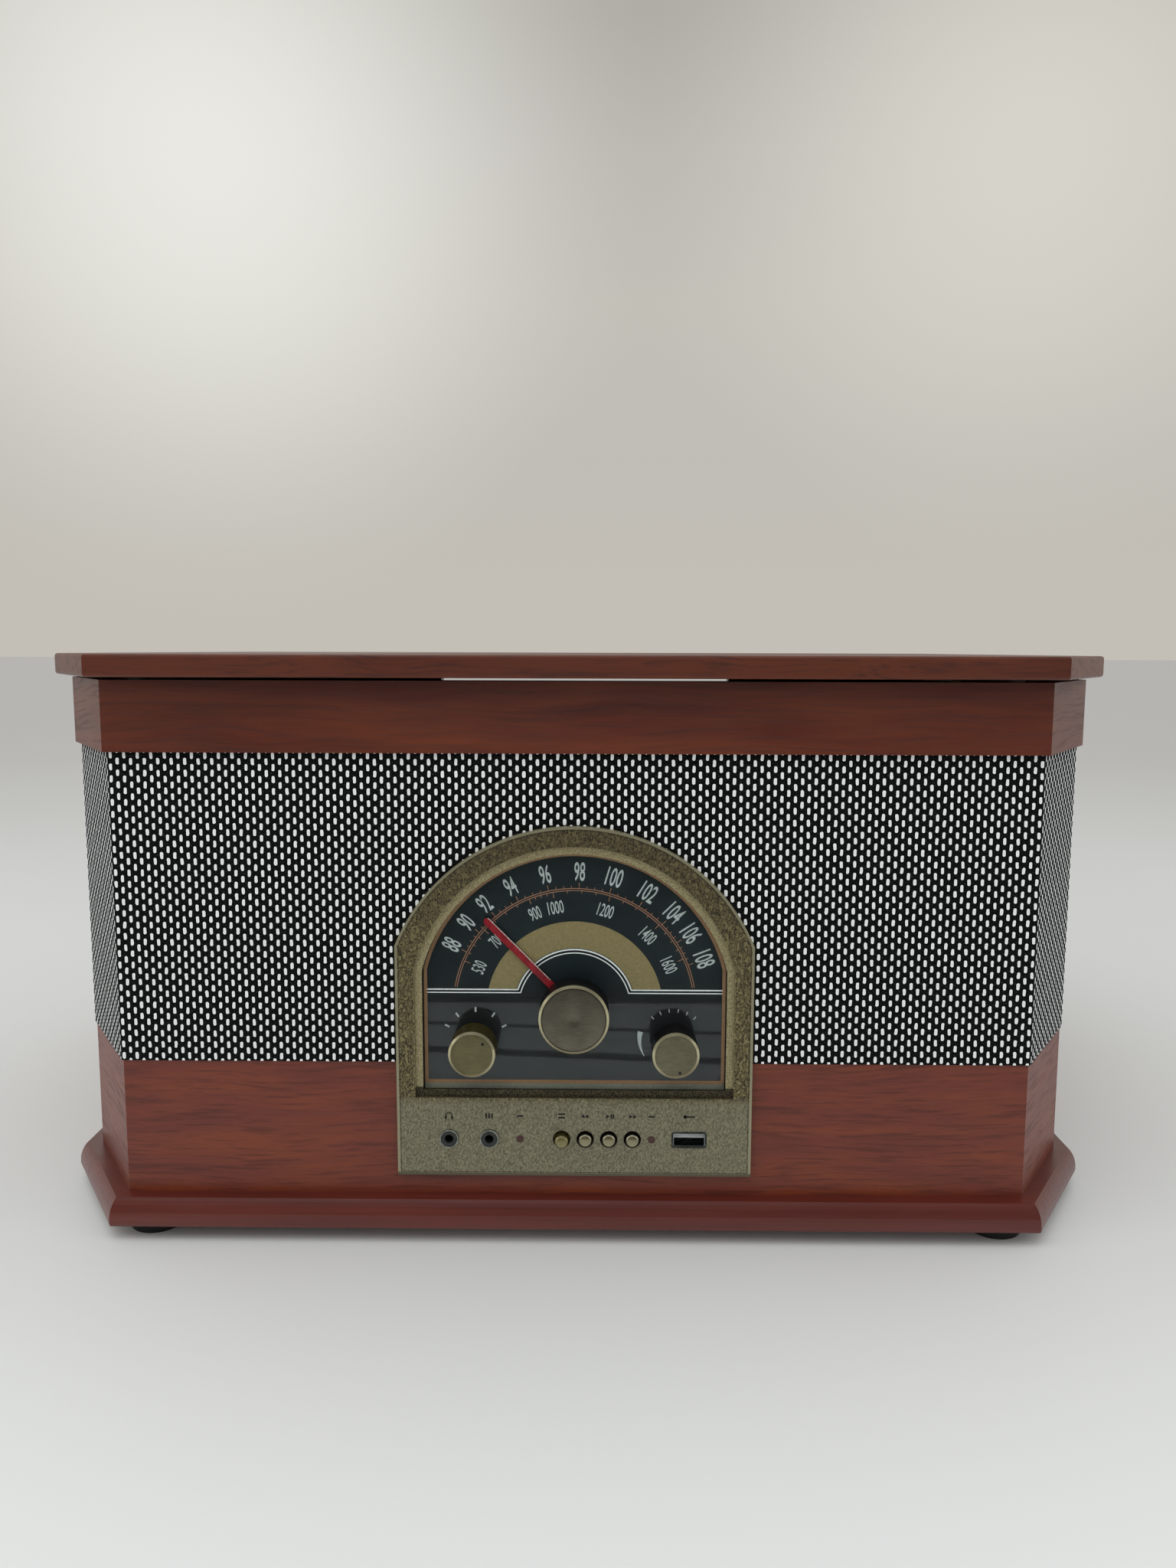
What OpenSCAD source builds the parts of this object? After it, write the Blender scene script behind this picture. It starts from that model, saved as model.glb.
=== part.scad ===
// Table-top record player with a radio: a wooden cabinet with cut front corners, a flat lid on
// rear hinges, a deck with a belt-driven platter and tonearm, and an arched control panel.
// X runs to the right, Y to the back, Z up. The origin is under the middle of the whole object.

/* [Cabinet] */
// Width of the flat front between the cut corners
front_w = 371; // [350:1:385]
// Width of the cabinet over its sides
body_w = 436; // [425:1:450]
// Depth of the cut corners
chamfer_d = 49; // [40:1:60]
// Depth of the cabinet from the front board to the rear edge
body_d = 330; // [328:1:350]
// Thickness of the cabinet boards
board_t = 9; // [8:0.5:10]
// Thickness of the back panel
back_t = 5; // [4:0.5:6]
// Height of the lower front board
lower_board_h = 56.7; // [52:0.1:62]
// Height of the grille cloth
grille_h = 127.1; // [124:0.1:140]
// Thickness of the grille cloth
cloth_t = 1; // [0.8:0.1:1.2]

/* [Base and feet] */
// Height of the rubber feet
foot_h = 6; // [4:0.5:10]
// Radius of the rubber feet
foot_r = 11.5; // [9:0.5:13]
// Thickness of the base board
base_t = 11.5; // [10:0.5:15]
// Reach of the base board beyond the boards above it
base_lip = 9.4; // [7:0.1:10]
// Lean of the moulded edge of the base board
base_lean = 3.6; // [2:0.1:4]

/* [Rail and lid] */
// Height of the top rail
rail_h = 28.5; // [28:0.1:34]
// Thickness of the top rail
rail_t = 12; // [10:0.5:14]
// Reach of the top rail beyond the boards below it
rail_lip = 3; // [1:0.1:5]
// Width of the lowered part of the rear rail
relief_w = 194; // [150:1:210]
// Depth of the lowered part of the rear rail
relief_h = 11; // [8:0.5:14]
// Thickness of the lid
lid_t = 9; // [8:0.5:12]
// Reach of the lid beyond the boards at the front and sides
lid_lip = 9.4; // [7:0.1:10]
// Gap between the rail and the lid
lid_gap = 1.2; // [0.8:0.1:2]
// Rounding of the lid's edges
lid_round = 1.2; // [0.5:0.1:2]

/* [Lid hinges and stay] */
// Distance of each hinge from the middle
hinge_x = 150; // [130:1:170]
// Length of a hinge
hinge_l = 50; // [40:1:60]
// Radius of the hinge barrel
hinge_r = 2.2; // [2:0.1:2.6]
// Thickness of the hinge leaves
leaf_t = 1.2; // [1:0.1:1.5]
// Radius of the hinge pin
hinge_pin_r = 1.1; // [0.9:0.05:1.3]
// Distance from the hinge line to the stay's pivot on the lid
stay_reach = 105; // [95:1:110]
// Length of the lid stay between its pins
stay_l = 113; // [111:1:116]
// Width of the lid stay
stay_w = 8; // [6:0.5:9]
// Thickness of the lid stay
stay_t = 2; // [1.5:0.1:2.4]

/* [Deck] */
// Depth of the deck's top below the top of the rail
well_d = 37.8; // [37:0.1:42]
// Thickness of the deck
deck_t = 6; // [5:0.5:8]
// Distance of the spindle to the left of the middle
spindle_left = 45; // [38:1:48]
// Distance of the spindle behind the front board
spindle_back = 165; // [160:1:170]
// Radius of the platter
platter_r = 100; // [90:1:105]
// Height of the platter
platter_h = 8.5; // [8:0.1:10]
// Gap between the deck and the platter
platter_gap = 2; // [1.5:0.1:2.5]
// Thickness of the mat
mat_t = 1.5; // [1:0.1:2]
// Radius of the spindle
spindle_r = 3.6; // [3.5:0.01:3.7]
// Height of the spindle above the mat
spindle_h = 12; // [10:0.5:14]
// Radius of the platter's drive rim
rim_r = 75; // [65:1:78]
// Radius of the motor pulley
pulley_r = 6; // [5:0.5:7]
// Distance from the spindle to the motor shaft
motor_d = 87; // [84:0.5:88]
// Radius of the motor
motor_r = 17.5; // [15:0.5:20]
// Height of the motor
motor_h = 25; // [20:1:30]
// Thickness of the belt
belt_t = 0.7; // [0.5:0.1:1]
// Radius of the adapter for records with a large hole
adapter_r = 19; // [18:0.1:19.2]
// Height of the adapter
adapter_h = 5; // [4:0.5:7]

/* [Tonearm] */
// Distance of the arm pivot inside the cabinet's right side
arm_in = 78; // [72:1:82]
// Distance of the arm pivot in front of the cabinet's rear edge
arm_to_back = 68; // [64:1:74]
// Distance of the stylus at rest behind the front board
stylus_back = 42; // [38:1:46]
// Radius of the arm tube
tube_r = 3.5; // [3:0.1:4]
// Height of the arm tube's axis above the deck
arm_h = 24; // [23.5:0.1:25]
// Distance from the arm pivot to the arm rest
rest_d = 150; // [140:1:156]
// Distance from the arm pivot to the lift bar
lift_d = 42; // [40:0.5:44]
// Width of the headshell
shell_w = 18; // [16:0.5:20]
// Length of the headshell
shell_l = 36; // [30:1:40]
// Thickness of the headshell
shell_t = 5; // [4:0.5:6]
// Length of the cue lever
cue_l = 24; // [18:1:26]

/* [Control panel] */
// Width of the control panel
panel_w = 145; // [142:0.5:150]
// Height of the panel's lower edge above the base board
panel_foot = 9.5; // [8:0.5:14]
// Radius of the panel's arch
arch_r = 78.3; // [77.5:0.1:80]
// Height of the arch's centre above the panel's lower edge
arch_h = 67; // [64:0.5:72]
// Reach of the panel's face in front of the front board
panel_proud = 3.5; // [3:0.1:5]
// Thickness of the panel's face
face_t = 3; // [2.6:0.1:3.2]
// Depth of the panel's housing behind its face
housing_d = 27; // [26:0.5:30]
// Inset of the housing from the panel's edge
housing_inset = 4; // [3:0.5:5]
// Wall of the housing
housing_wall = 2; // [1.5:0.1:2.5]
// Width of the panel's face beside the window
window_side = 10.7; // [9.5:0.1:12.5]
// Radius of the window's arch
window_r = 63.7; // [63.4:0.1:64.5]
// Height of the window's arch centre above the panel's lower edge
window_h = 70.3; // [69:0.1:71]
// Height of the window's lower edge above the panel's lower edge
window_foot = 36.2; // [35:0.1:38]
// Width of the sloping border round the window
window_border = 3; // [2:0.1:3.5]
// Thickness of the clear window
pane_t = 1.5; // [1.2:0.1:1.8]
// Gap between the window and the dial plate
dial_gap = 2.2; // [2:0.1:2.6]
// Thickness of the dial plate
dial_t = 1.5; // [1:0.1:2]
// Height of the dial's centre above the panel's lower edge
dial_h = 69.6; // [68:0.1:71]
// Length of the tuning pointer
pointer_l = 52; // [46:0.5:54]
// Angle of the pointer at rest, from straight up
pointer_angle = -44.5; // [-60:0.5:60]

/* [Knobs, buttons and sockets] */
// Radius of the tuning knob
tuning_r = 14; // [12:0.5:16]
// Radius of the two small knobs
knob_r = 9.35; // [8:0.05:11]
// Length of the knobs
knob_l = 12; // [10:0.5:14]
// Gap between the window and the knobs
knob_gap = 0.9; // [0.6:0.1:1.5]
// Distance of the small knobs from the middle
knob_x = 40.6; // [38:0.1:43]
// Height of the small knobs above the panel's lower edge
knob_h = 55.1; // [53:0.1:57]
// Radius of the control shafts
shaft_r = 3; // [2.5:0.1:3.2]
// Height of the row of buttons and sockets above the panel's lower edge
row_h = 15.7; // [14:0.1:17]
// Distance of the first button from the middle
button_x = -5.1; // [-7:0.1:-4]
// Spacing of the buttons
button_pitch = 9.65; // [9:0.05:10]
// Radius of the buttons
button_r = 2.8; // [2.4:0.1:3]
// Gap between a button and its hole
button_gap = 0.8; // [0.4:0.1:1]
// Reach of the buttons in front of the panel
button_proud = 1.6; // [1.4:0.1:2.5]
// Extra reach of the first button
latch_proud = 1.5; // [0:0.1:2]
// Travel of the buttons
button_travel = 1; // [0.5:0.1:1.2]
// Radius of the jack sockets
jack_r = 3.9; // [3.5:0.1:4.2]
// Radius of the jack bores
jack_bore = 1.8; // [1.75:0.01:1.85]
// Place of the headphone jack
jack_x1 = -51.3; // [-53:0.1:-49]
// Place of the input jack
jack_x2 = -34.8; // [-37:0.1:-33]
// Place of the left indicator lamp
lamp_x1 = -22.1; // [-24:0.1:-20]
// Place of the right indicator lamp
lamp_x2 = 31.7; // [31.2:0.1:33]
// Radius of the indicator lamps
lamp_r = 1.5; // [1.3:0.1:1.8]
// Place of the data socket
usb_x = 47.1; // [45:0.1:49]
// Width of the data socket
usb_w = 13.1; // [12.8:0.1:13.4]
// Height of the data socket
usb_h = 5.7; // [5.4:0.1:6]

/* [Loudspeakers] */
// Distance of the loudspeakers from the middle
speaker_x = 130; // [126:1:133]
// Height of the loudspeakers above the lower front board
speaker_h = 57.8; // [54:0.1:62]
// Radius of the loudspeakers
speaker_r = 40; // [36:0.5:42]
// Depth of the loudspeakers
speaker_d = 32; // [28:1:36]

/* [Back] */
// Distance of the line sockets inside the cabinet's left side
line_in = 68; // [60:1:85]
// Distance of the power inlet inside the cabinet's left side
inlet_in = 123; // [110:1:135]
// Height of the sockets above the base board
socket_h = 42; // [30:1:60]
// Radius of the power inlet's bore
inlet_bore = 2.8; // [2.7:0.05:3]

/* [Hidden] */
$fn = 64;

// Clearances
fit_gap = 0.3;
run_gap = 0.05;
slide_gap = 0.4;
through = 1;

// Heights of the layers
board_z = foot_h + base_t;
grille_z = board_z + lower_board_h;
rail_z = grille_z + grille_h;
rail_top = rail_z + rail_h;
lid_z = rail_top + lid_gap;
deck_z = rail_top - well_d;
deck_under = deck_z - deck_t;

// The whole object's reach in front of and behind the front board
pane_set_back = 2;
window_front = -panel_proud + pane_set_back;
knob_back = window_front - knob_gap;
knob_face = knob_back - knob_l;
barrel_gap = 0.6;
hinge_y = rail_lip + barrel_gap + hinge_r;
rear_reach = body_d + hinge_y + hinge_r;
front_y = -(knob_face + rear_reach) / 2;
back_y = front_y + body_d;
rear_y = back_y + rail_lip;

// Outline of the cabinet: every board follows it, moved outwards or inwards
chamfer_w = (body_w - front_w) / 2;
chamfer_l = norm([chamfer_w, chamfer_d]);
corner_nx = chamfer_d / chamfer_l;
corner_ny = chamfer_w / chamfer_l;
function front_corner(out) =
    [front_w / 2 + out * (1 - corner_ny) / corner_nx, front_y - out];
function side_corner(out) =
    [body_w / 2 + out, front_y + chamfer_d - out * (1 - corner_nx) / corner_ny];
function left(p) = [-p[0], p[1]];
function outline(out, back) = [
    front_corner(out), side_corner(out), [body_w / 2 + out, back],
    [-body_w / 2 - out, back], left(side_corner(out)), left(front_corner(out))
];

// Places on the deck
spindle_x = -spindle_left;
spindle_y = front_y + spindle_back;
platter_z = deck_z + platter_gap;
mat_z = platter_z + platter_h;
motor_angle = 127;
motor_x = spindle_x + motor_d * cos(motor_angle);
motor_y = spindle_y + motor_d * sin(motor_angle);
motor_hole_r = 5;
motor_shaft_r = 1;
skirt_t = 3;
rim_z = platter_z + 1;
rim_top = mat_z - skirt_t;
belt_z = rim_z + 0.8;
belt_h = 3.2;
hub_r = 12;
bearing_r = 7;
journal_r = spindle_r + 0.4;
bearing_bore = journal_r + run_gap;
bearing_depth = 22;
flange_h = 0.7;
hub_z = deck_z + flange_h + fit_gap;
adapter_x = -body_w / 2 + 36;
adapter_y = back_y - 38;
adapter_recess = 2.5;
record_hole_r = 3.65;

// Places on the tonearm
arm_x = body_w / 2 - arm_in;
arm_y = back_y - arm_to_back;
arm_l = body_d - arm_to_back - stylus_back;
shell_lead = 8;
shell_front = arm_y - arm_l - shell_lead;
arm_tail = 34;
arm_z = deck_z + arm_h;
turret_r = 21;
turret_h = 7;
arm_shaft_r = 3;
arm_bush_r = 6;
arm_shaft_l = 14;
yoke_r = 14;
yoke_t = 3.4;
ear_gap = 5;
ear_t = 3;
axle_r = 1.5;
rest_y = arm_y - rest_d;
stylus_z = mat_z + mat_t + 2;
shell_z = arm_z - 2.5;
cartridge_w = 14;
cartridge_l = 22;
lift_angle = 246;
lift_half = 31;
lift_t = 3;
lift_w = 4;
plunger_r = 2;
lift_top = arm_z - tube_r - slide_gap;
guide_h = 11;
clip_pin = [arm_x + tube_r + 3.5, arm_z - 1];
clip_pin_r = 1.3;
clip_t = 2;
clip_open = 150;
cradle_l = 10;
cradle_t = 5;
cue_x = arm_x + 26;
cue_y = arm_y - 4;
cue_z = deck_z + 6;
cue_hub_r = 4;
cue_hub_w = 5;
cue_pin_r = 1.5;
cue_angle = 12;
switch_x = body_w / 2 - 38;
speed_back = 150;
stop_back = 108;
speed_y = front_y + speed_back;
stop_y = front_y + stop_back;
speed_travel = 12;
stop_travel = 7;
switch_knob = [9, 6, 5];
switch_stem = [3, 4];

// Places of the lid's hinge line and stay
hinge_line_y = back_y + hinge_y;
hinge_line_z = lid_z - lid_gap / 2;
rail_inner_x = body_w / 2 + rail_lip - rail_t;
stay_pin_r = 2;
stay_roller_r = 2.5;
stay_drop = 4.4;
track_drop = 9.5;
stay_x = rail_inner_x - 11.5;
ear_x = stay_x + stay_t + slide_gap;
ear_w = 2;
stay_z = hinge_line_z - stay_drop;
stay_y = hinge_line_y - stay_reach;
stay_slope = asin((track_drop - stay_drop) / stay_l);
track_z = hinge_line_z - track_drop;
track_slot = 2 * stay_roller_r + 2.4;
track_w = 5.5;
track_wall = 1.5;
track_front = stay_y - stay_l - 8;
track_back = hinge_line_y - 52;
stay_end_y = stay_y - stay_l * cos(stay_slope);
stay_end_z = stay_z - stay_l * sin(stay_slope);

// Places on the control panel
window_half = panel_w / 2 - window_side;
panel_z = board_z + panel_foot;
panel_y = front_y - panel_proud;
arch_z = panel_z + arch_h;
window_z = panel_z + window_h;
window_low = panel_z + window_foot;
pane_y = front_y + window_front;
pane_tuck = 1.5;
border_depth = 1.2;
pointer_y = pane_y + pane_t + 0.6;
pointer_t = 0.8;
pointer_w = 3;
dial_y = pane_y + pane_t + dial_gap;
dial_back = dial_y + dial_t;
dial_z = panel_z + dial_h;
knob_z = panel_z + knob_h;
knob_front = front_y + knob_face;
housing_back = panel_y + housing_d;
row_z = panel_z + row_h;
button_hole = button_r + button_gap;
button_flange_r = button_r + 1.7;
board_y = housing_back - 9.5;
pcb_t = 1.6;
switch_block = 3.5;
shaft_hole = shaft_r + slide_gap;
post_x = panel_w / 2 - housing_inset - housing_wall - 3;
post_above_window = 6.8;
post_above_arch = 21;
post_zs = [window_low + post_above_window, arch_z + post_above_arch];
pillar_x = post_x - 6.5;
main_board_top = post_zs[1] + 7;
main_board_low = post_zs[0] - 8;
capacitor_w = 26;
switch_w = 20;
pot_r = 8.5;
control_front = dial_back + 3.5;

// Places inside the cabinet
baffle_y = front_y + cloth_t / 2;
cloth_out = cloth_t / 2;
cone_hole_r = speaker_r - 4;
speaker_z = grille_z + speaker_h;
batten_w = 12;
batten_z = deck_under - batten_w;
inner_back = back_y - back_t;
inner_x = body_w / 2 - board_t;
line_x = body_w / 2 - line_in;
inlet_x = body_w / 2 - inlet_in;
line_xs = [-line_x - 7, -line_x + 7];
line_body_r = 5;
line_plug_r = 4.15;
line_bore = 1.65;
inlet_body_r = inlet_bore + 2.7;
vent_x = 85;
vent_w = 36;
vent_h = 4.5;
screw_r = 1.5;
screw_head_r = 3.5;
screw_l = 13;
socket_z = board_z + socket_h;
foot_places = [
    [front_w / 2 - 8.5, front_y + 8.6],
    [body_w / 2 - 28, back_y - 28]
];
screw_in = 98;
screw_rises = [30, 90];
screw_places = [
    for (x = [-1, 0, 1]) [x * (body_w / 2 - screw_in), batten_z + batten_w / 2],
    for (x = [-1, 1], z = screw_rises) [x * (inner_x - batten_w / 2), board_z + z]
];

// A board of the front, from one mitre to the other
module front_strip(out, thick, low, high) {
    inner = out - thick;
    translate([0, 0, low])
        linear_extrude(high - low)
            polygon([front_corner(out), front_corner(inner),
                left(front_corner(inner)), left(front_corner(out))]);
}

// A board of the right cut corner
module corner_strip(out, thick, low, high) {
    inner = out - thick;
    translate([0, 0, low])
        linear_extrude(high - low)
            polygon([front_corner(out), side_corner(out), side_corner(inner), front_corner(inner)]);
}

// A board of the right side, back to a given line
module side_strip(out, thick, back, low, high) {
    inner = out - thick;
    translate([0, 0, low])
        linear_extrude(high - low)
            polygon([side_corner(out), [body_w / 2 + out, back],
                [body_w / 2 + inner, back], side_corner(inner)]);
}

// The same piece on both sides
module both_sides() {
    children();
    mirror([1, 0, 0]) children();
}

// A flat shape drawn in X and Z, given a thickness from a front plane backwards
module standing(front, thick) {
    translate([0, front + thick, 0]) rotate([90, 0, 0]) linear_extrude(thick) children();
}

// A round rod along Y
module rod_y(x, z, from, to, r) {
    translate([x, from, z]) rotate([-90, 0, 0]) cylinder(h = to - from, r = r);
}

// A round rod along X
module rod_x(y, z, from, to, r) {
    translate([from, y, z]) rotate([0, 90, 0]) cylinder(h = to - from, r = r);
}

// A round rod along Z
module rod_z(x, y, from, to, r) {
    translate([x, y, from]) cylinder(h = to - from, r = r);
}

// A turned shape along Y, its points given as radius and distance behind a front plane
module turned_y(x, z, front, profile) {
    translate([x, front, z]) rotate([-90, 0, 0]) rotate_extrude() polygon(profile);
}

// A board with a moulded edge: rings of the cabinet's outline at heights along an edge profile
module moulded_board(low, back, profile) {
    count = len(profile);
    rings = [for (p = profile) for (q = outline(p[0], back)) [q[0], q[1], low + p[1]]];
    sides = [
        for (i = [0 : count - 2]) for (j = [0 : 5])
            let (k = (j + 1) % 6)
            [6 * i + j, 6 * i + k, 6 * (i + 1) + k, 6 * (i + 1) + j]
    ];
    bottom = [for (j = [5 : -1 : 0]) j];
    top = [for (j = [0 : 5]) 6 * (count - 1) + j];
    // The rings run the other way round from above, so every face is turned over
    polyhedron(points = rings,
        faces = [for (f = concat(sides, [bottom, top])) [for (i = [len(f) - 1 : -1 : 0]) f[i]]]);
}

// Edge of the base board: a small round, then a face that leans in as it rises
base_edge = concat(
    [[base_lip - 1.2, 0], [base_lip - 0.35, 0.5], [base_lip, 1.8]],
    [for (i = [1 : 6])
        let (a = 10 * i)
        [base_lip - base_lean * (1 - cos(a)) / (1 - cos(60)),
            2.5 + (base_t - 2.5) * sin(a) / sin(60)]]
);

// Edge of the lid: a small round at the bottom and the top
lid_edge = concat(
    [for (i = [0 : 3]) [lid_lip - lid_round * (1 - sin(30 * i)), lid_round * (1 - cos(30 * i))]],
    [for (i = [0 : 3])
        [lid_lip - lid_round * (1 - cos(30 * i)), lid_t - lid_round * (1 - sin(30 * i))]]
);

module base_board() {
    color("sienna")
        moulded_board(foot_h, rear_y, base_edge);
}

module rubber_feet() {
    color("black")
        both_sides()
            for (p = foot_places)
                translate([p[0], p[1], 0])
                    cylinder(h = foot_h, r1 = foot_r - 0.5, r2 = foot_r + 0.5);
}

// Outline of the control panel, moved inwards
module panel_shape(inset) {
    half = panel_w / 2 - inset;
    low = panel_z + inset;
    intersection() {
        union() {
            translate([-half, low]) square([2 * half, arch_h - inset]);
            translate([0, arch_z]) circle(arch_r - inset, $fn = 128);
        }
        translate([-half, low]) square([2 * half, arch_h + arch_r]);
    }
}

// Outline of the window, moved outwards
module window_shape(out) {
    half = window_half + out;
    low = window_low - out;
    intersection() {
        translate([0, window_z]) circle(window_r + out, $fn = 128);
        translate([-half, window_z - window_r]) square([2 * half, 2 * window_r + 2 * out]);
        translate([-half, low]) square([2 * half, window_h + window_r + 2 * out]);
    }
    translate([-half, low]) square([2 * half, window_z - low]);
}

// The opening that the control panel's housing passes through
module housing_opening(front, thick) {
    standing(front, thick) panel_shape(housing_inset - fit_gap);
}

module front_board() {
    color("saddlebrown")
        difference() {
            front_strip(0, board_t, board_z, grille_z);
            housing_opening(front_y - through, board_t + 2 * through);
        }
}

module corner_boards() {
    color("saddlebrown")
        both_sides() corner_strip(0, board_t, board_z, grille_z);
}

module side_boards() {
    color("saddlebrown")
        both_sides() side_strip(0, board_t, back_y, board_z, rail_z);
}

module back_panel() {
    color("dimgray")
        difference() {
            translate([-inner_x, inner_back, board_z])
                cube([2 * inner_x, back_t, rail_z - board_z]);
            for (p = screw_places)
                rod_y(p[0], p[1], inner_back - through, back_y + through, screw_r);
            for (x = line_xs)
                rod_y(x, socket_z, inner_back - through, back_y + through, line_body_r + 0.2);
            rod_y(-inlet_x, socket_z, inner_back - through, back_y + through, inlet_body_r + 0.2);
            for (i = [0 : 5], x = [vent_x - vent_w - 5, vent_x + 5])
                translate([x, inner_back - through, socket_z - 10 + 2 * vent_h * i])
                    cube([vent_w, back_t + 2 * through, vent_h]);
        }
}

module speaker_baffles() {
    color("darkslategray") {
        difference() {
            front_strip(-cloth_out, board_t, grille_z, rail_z);
            housing_opening(front_y - through, board_t + 2 * through);
            for (side = [-1, 1])
                rod_y(side * speaker_x, speaker_z, front_y, front_y + 2 * board_t, cone_hole_r);
        }
        both_sides() corner_strip(-cloth_out, board_t, grille_z, rail_z);
    }
}

module grille_cloth() {
    outer = cloth_out;
    inner = outer - cloth_t;
    color("gray")
        difference() {
            translate([0, 0, grille_z])
                linear_extrude(grille_h)
                    polygon([left(side_corner(outer)), left(front_corner(outer)),
                        front_corner(outer), side_corner(outer),
                        side_corner(inner), front_corner(inner),
                        left(front_corner(inner)), left(side_corner(inner))]);
            housing_opening(front_y - 2 * cloth_t, 4 * cloth_t);
        }
}

module rail_front() {
    color("brown")
        front_strip(rail_lip, rail_t, rail_z, rail_top);
}

module side_rails() {
    color("brown")
        both_sides() {
            corner_strip(rail_lip, rail_t, rail_z, rail_top);
            side_strip(rail_lip, rail_t, rear_y, rail_z, rail_top);
        }
}

module rail_rear() {
    color("brown")
        difference() {
            translate([-rail_inner_x, rear_y - rail_t, rail_z])
                cube([2 * rail_inner_x, rail_t, rail_h]);
            translate([-relief_w / 2, rear_y - rail_t - through, rail_top - relief_h])
                cube([relief_w, rail_t + 2 * through, relief_h + through]);
        }
}

module deck_battens() {
    rear_front = inner_back - batten_w;
    side_front = front_y + chamfer_d + 12;
    front_inner = baffle_y + board_t;
    front_from = panel_w / 2 + 4;
    color("burlywood")
        difference() {
            union() {
                both_sides() {
                    translate([inner_x - batten_w, side_front, batten_z])
                        cube([batten_w, rear_front - fit_gap - side_front, batten_w]);
                    translate([front_from, front_inner, batten_z])
                        cube([front_w / 2 - 14 - front_from, batten_w, batten_w]);
                    translate([inner_x - batten_w, rear_front, board_z])
                        cube([batten_w, batten_w, batten_z - fit_gap - board_z]);
                }
                translate([-inner_x, rear_front, batten_z])
                    cube([2 * inner_x, batten_w, batten_w]);
            }
            for (p = screw_places)
                rod_y(p[0], p[1], back_y - screw_l, back_y, screw_r);
        }
}

module deck() {
    inset = -board_t - cloth_out - fit_gap;
    color("black")
        difference() {
            translate([0, 0, deck_under])
                linear_extrude(deck_t)
                    polygon(outline(inset, inner_back - fit_gap));
            rod_z(spindle_x, spindle_y, deck_under - through, deck_z + through, bearing_r);
            rod_z(motor_x, motor_y, deck_under - through, deck_z + through, motor_hole_r);
            rod_z(arm_x, arm_y, deck_under - through, deck_z + through, arm_bush_r);
            rod_z(adapter_x, adapter_y, deck_z - adapter_recess, deck_z + through,
                adapter_r + slide_gap);
            switch_slot(speed_y, speed_travel);
            switch_slot(stop_y, stop_travel);
        }
}

// The slot in the deck that a slide switch's stem runs in
module switch_slot(y, travel) {
    w = switch_stem[0] + 2 * fit_gap;
    l = switch_stem[1] + travel + 2 * fit_gap;
    translate([switch_x - w / 2, y - switch_stem[1] / 2 - fit_gap, deck_under - through])
        cube([w, l, deck_t + 2 * through]);
}

module bezel() {
    color("darkkhaki")
        difference() {
            union() {
                standing(panel_y, face_t) panel_shape(0);
                standing(panel_y + face_t, housing_d - face_t)
                    difference() {
                        panel_shape(housing_inset);
                        panel_shape(housing_inset + housing_wall);
                    }
                for (x = [-post_x, post_x], z = post_zs)
                    rod_y(x, z, dial_back, housing_back, 4);
                for (x = [-pillar_x, pillar_x])
                    rod_y(x, row_z + 8, panel_y + face_t, board_y, 3);
            }
            standing(panel_y - through, face_t + 2 * through) window_shape(0);
            standing(panel_y - through, border_depth + through) window_shape(window_border);
            standing(pane_y, pane_t + through) window_shape(pane_tuck + run_gap);
            for (i = [0 : 3])
                rod_y(button_x + i * button_pitch, row_z, panel_y - through,
                    panel_y + face_t + through, button_hole);
            for (x = [jack_x1, jack_x2])
                rod_y(x, row_z, panel_y - through, panel_y + face_t + through, jack_r);
            for (x = [lamp_x1, lamp_x2])
                rod_y(x, row_z, panel_y - through, panel_y + face_t + through, lamp_r);
            translate([usb_x - usb_w / 2, panel_y - through, row_z - usb_h / 2])
                cube([usb_w, face_t + 2 * through, usb_h]);
        }
}

// The holes for the three control shafts
module shaft_holes(front, back) {
    rod_y(0, dial_z, front, back, shaft_hole);
    for (x = [-knob_x, knob_x])
        rod_y(x, knob_z, front, back, shaft_hole);
}

module dial_window() {
    color("lightblue", 0.3)
        difference() {
            standing(pane_y, pane_t) window_shape(pane_tuck);
            shaft_holes(pane_y - through, pane_y + pane_t + through);
        }
}

module dial_plate() {
    color("midnightblue")
        difference() {
            standing(dial_y, dial_t) window_shape(pane_tuck);
            shaft_holes(dial_y - through, dial_back + through);
        }
}

module front_jacks() {
    jack_depth = 16;
    color("silver")
        for (x = [jack_x1, jack_x2])
            difference() {
                union() {
                    rod_y(x, row_z, panel_y - 0.5, panel_y + face_t, jack_r);
                    rod_y(x, row_z, panel_y + face_t, board_y, jack_r + 1.5);
                }
                rod_y(x, row_z, panel_y - through, panel_y + jack_depth, jack_bore);
            }
}

module usb_socket() {
    shell = 0.3;
    tongue_t = 2.2;
    tongue_back = 1.5;
    depth = 12;
    inner_w = usb_w - 2 * shell;
    inner_h = usb_h - 2 * shell;
    color("silver")
        difference() {
            translate([usb_x - usb_w / 2, panel_y, row_z - usb_h / 2])
                cube([usb_w, board_y - panel_y, usb_h]);
            translate([usb_x - inner_w / 2, panel_y - through, row_z - inner_h / 2])
                cube([inner_w, depth + through, inner_h - tongue_t]);
            translate([usb_x - inner_w / 2, panel_y - through, row_z - inner_h / 2])
                cube([inner_w, tongue_back + through, inner_h]);
        }
}

module indicator_lamps() {
    color("darkred")
        for (x = [lamp_x1, lamp_x2]) {
            rod_y(x, row_z, panel_y - 0.2, panel_y + face_t, lamp_r);
            rod_y(x, row_z, panel_y + face_t, board_y, lamp_r + 0.4);
        }
}

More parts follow.
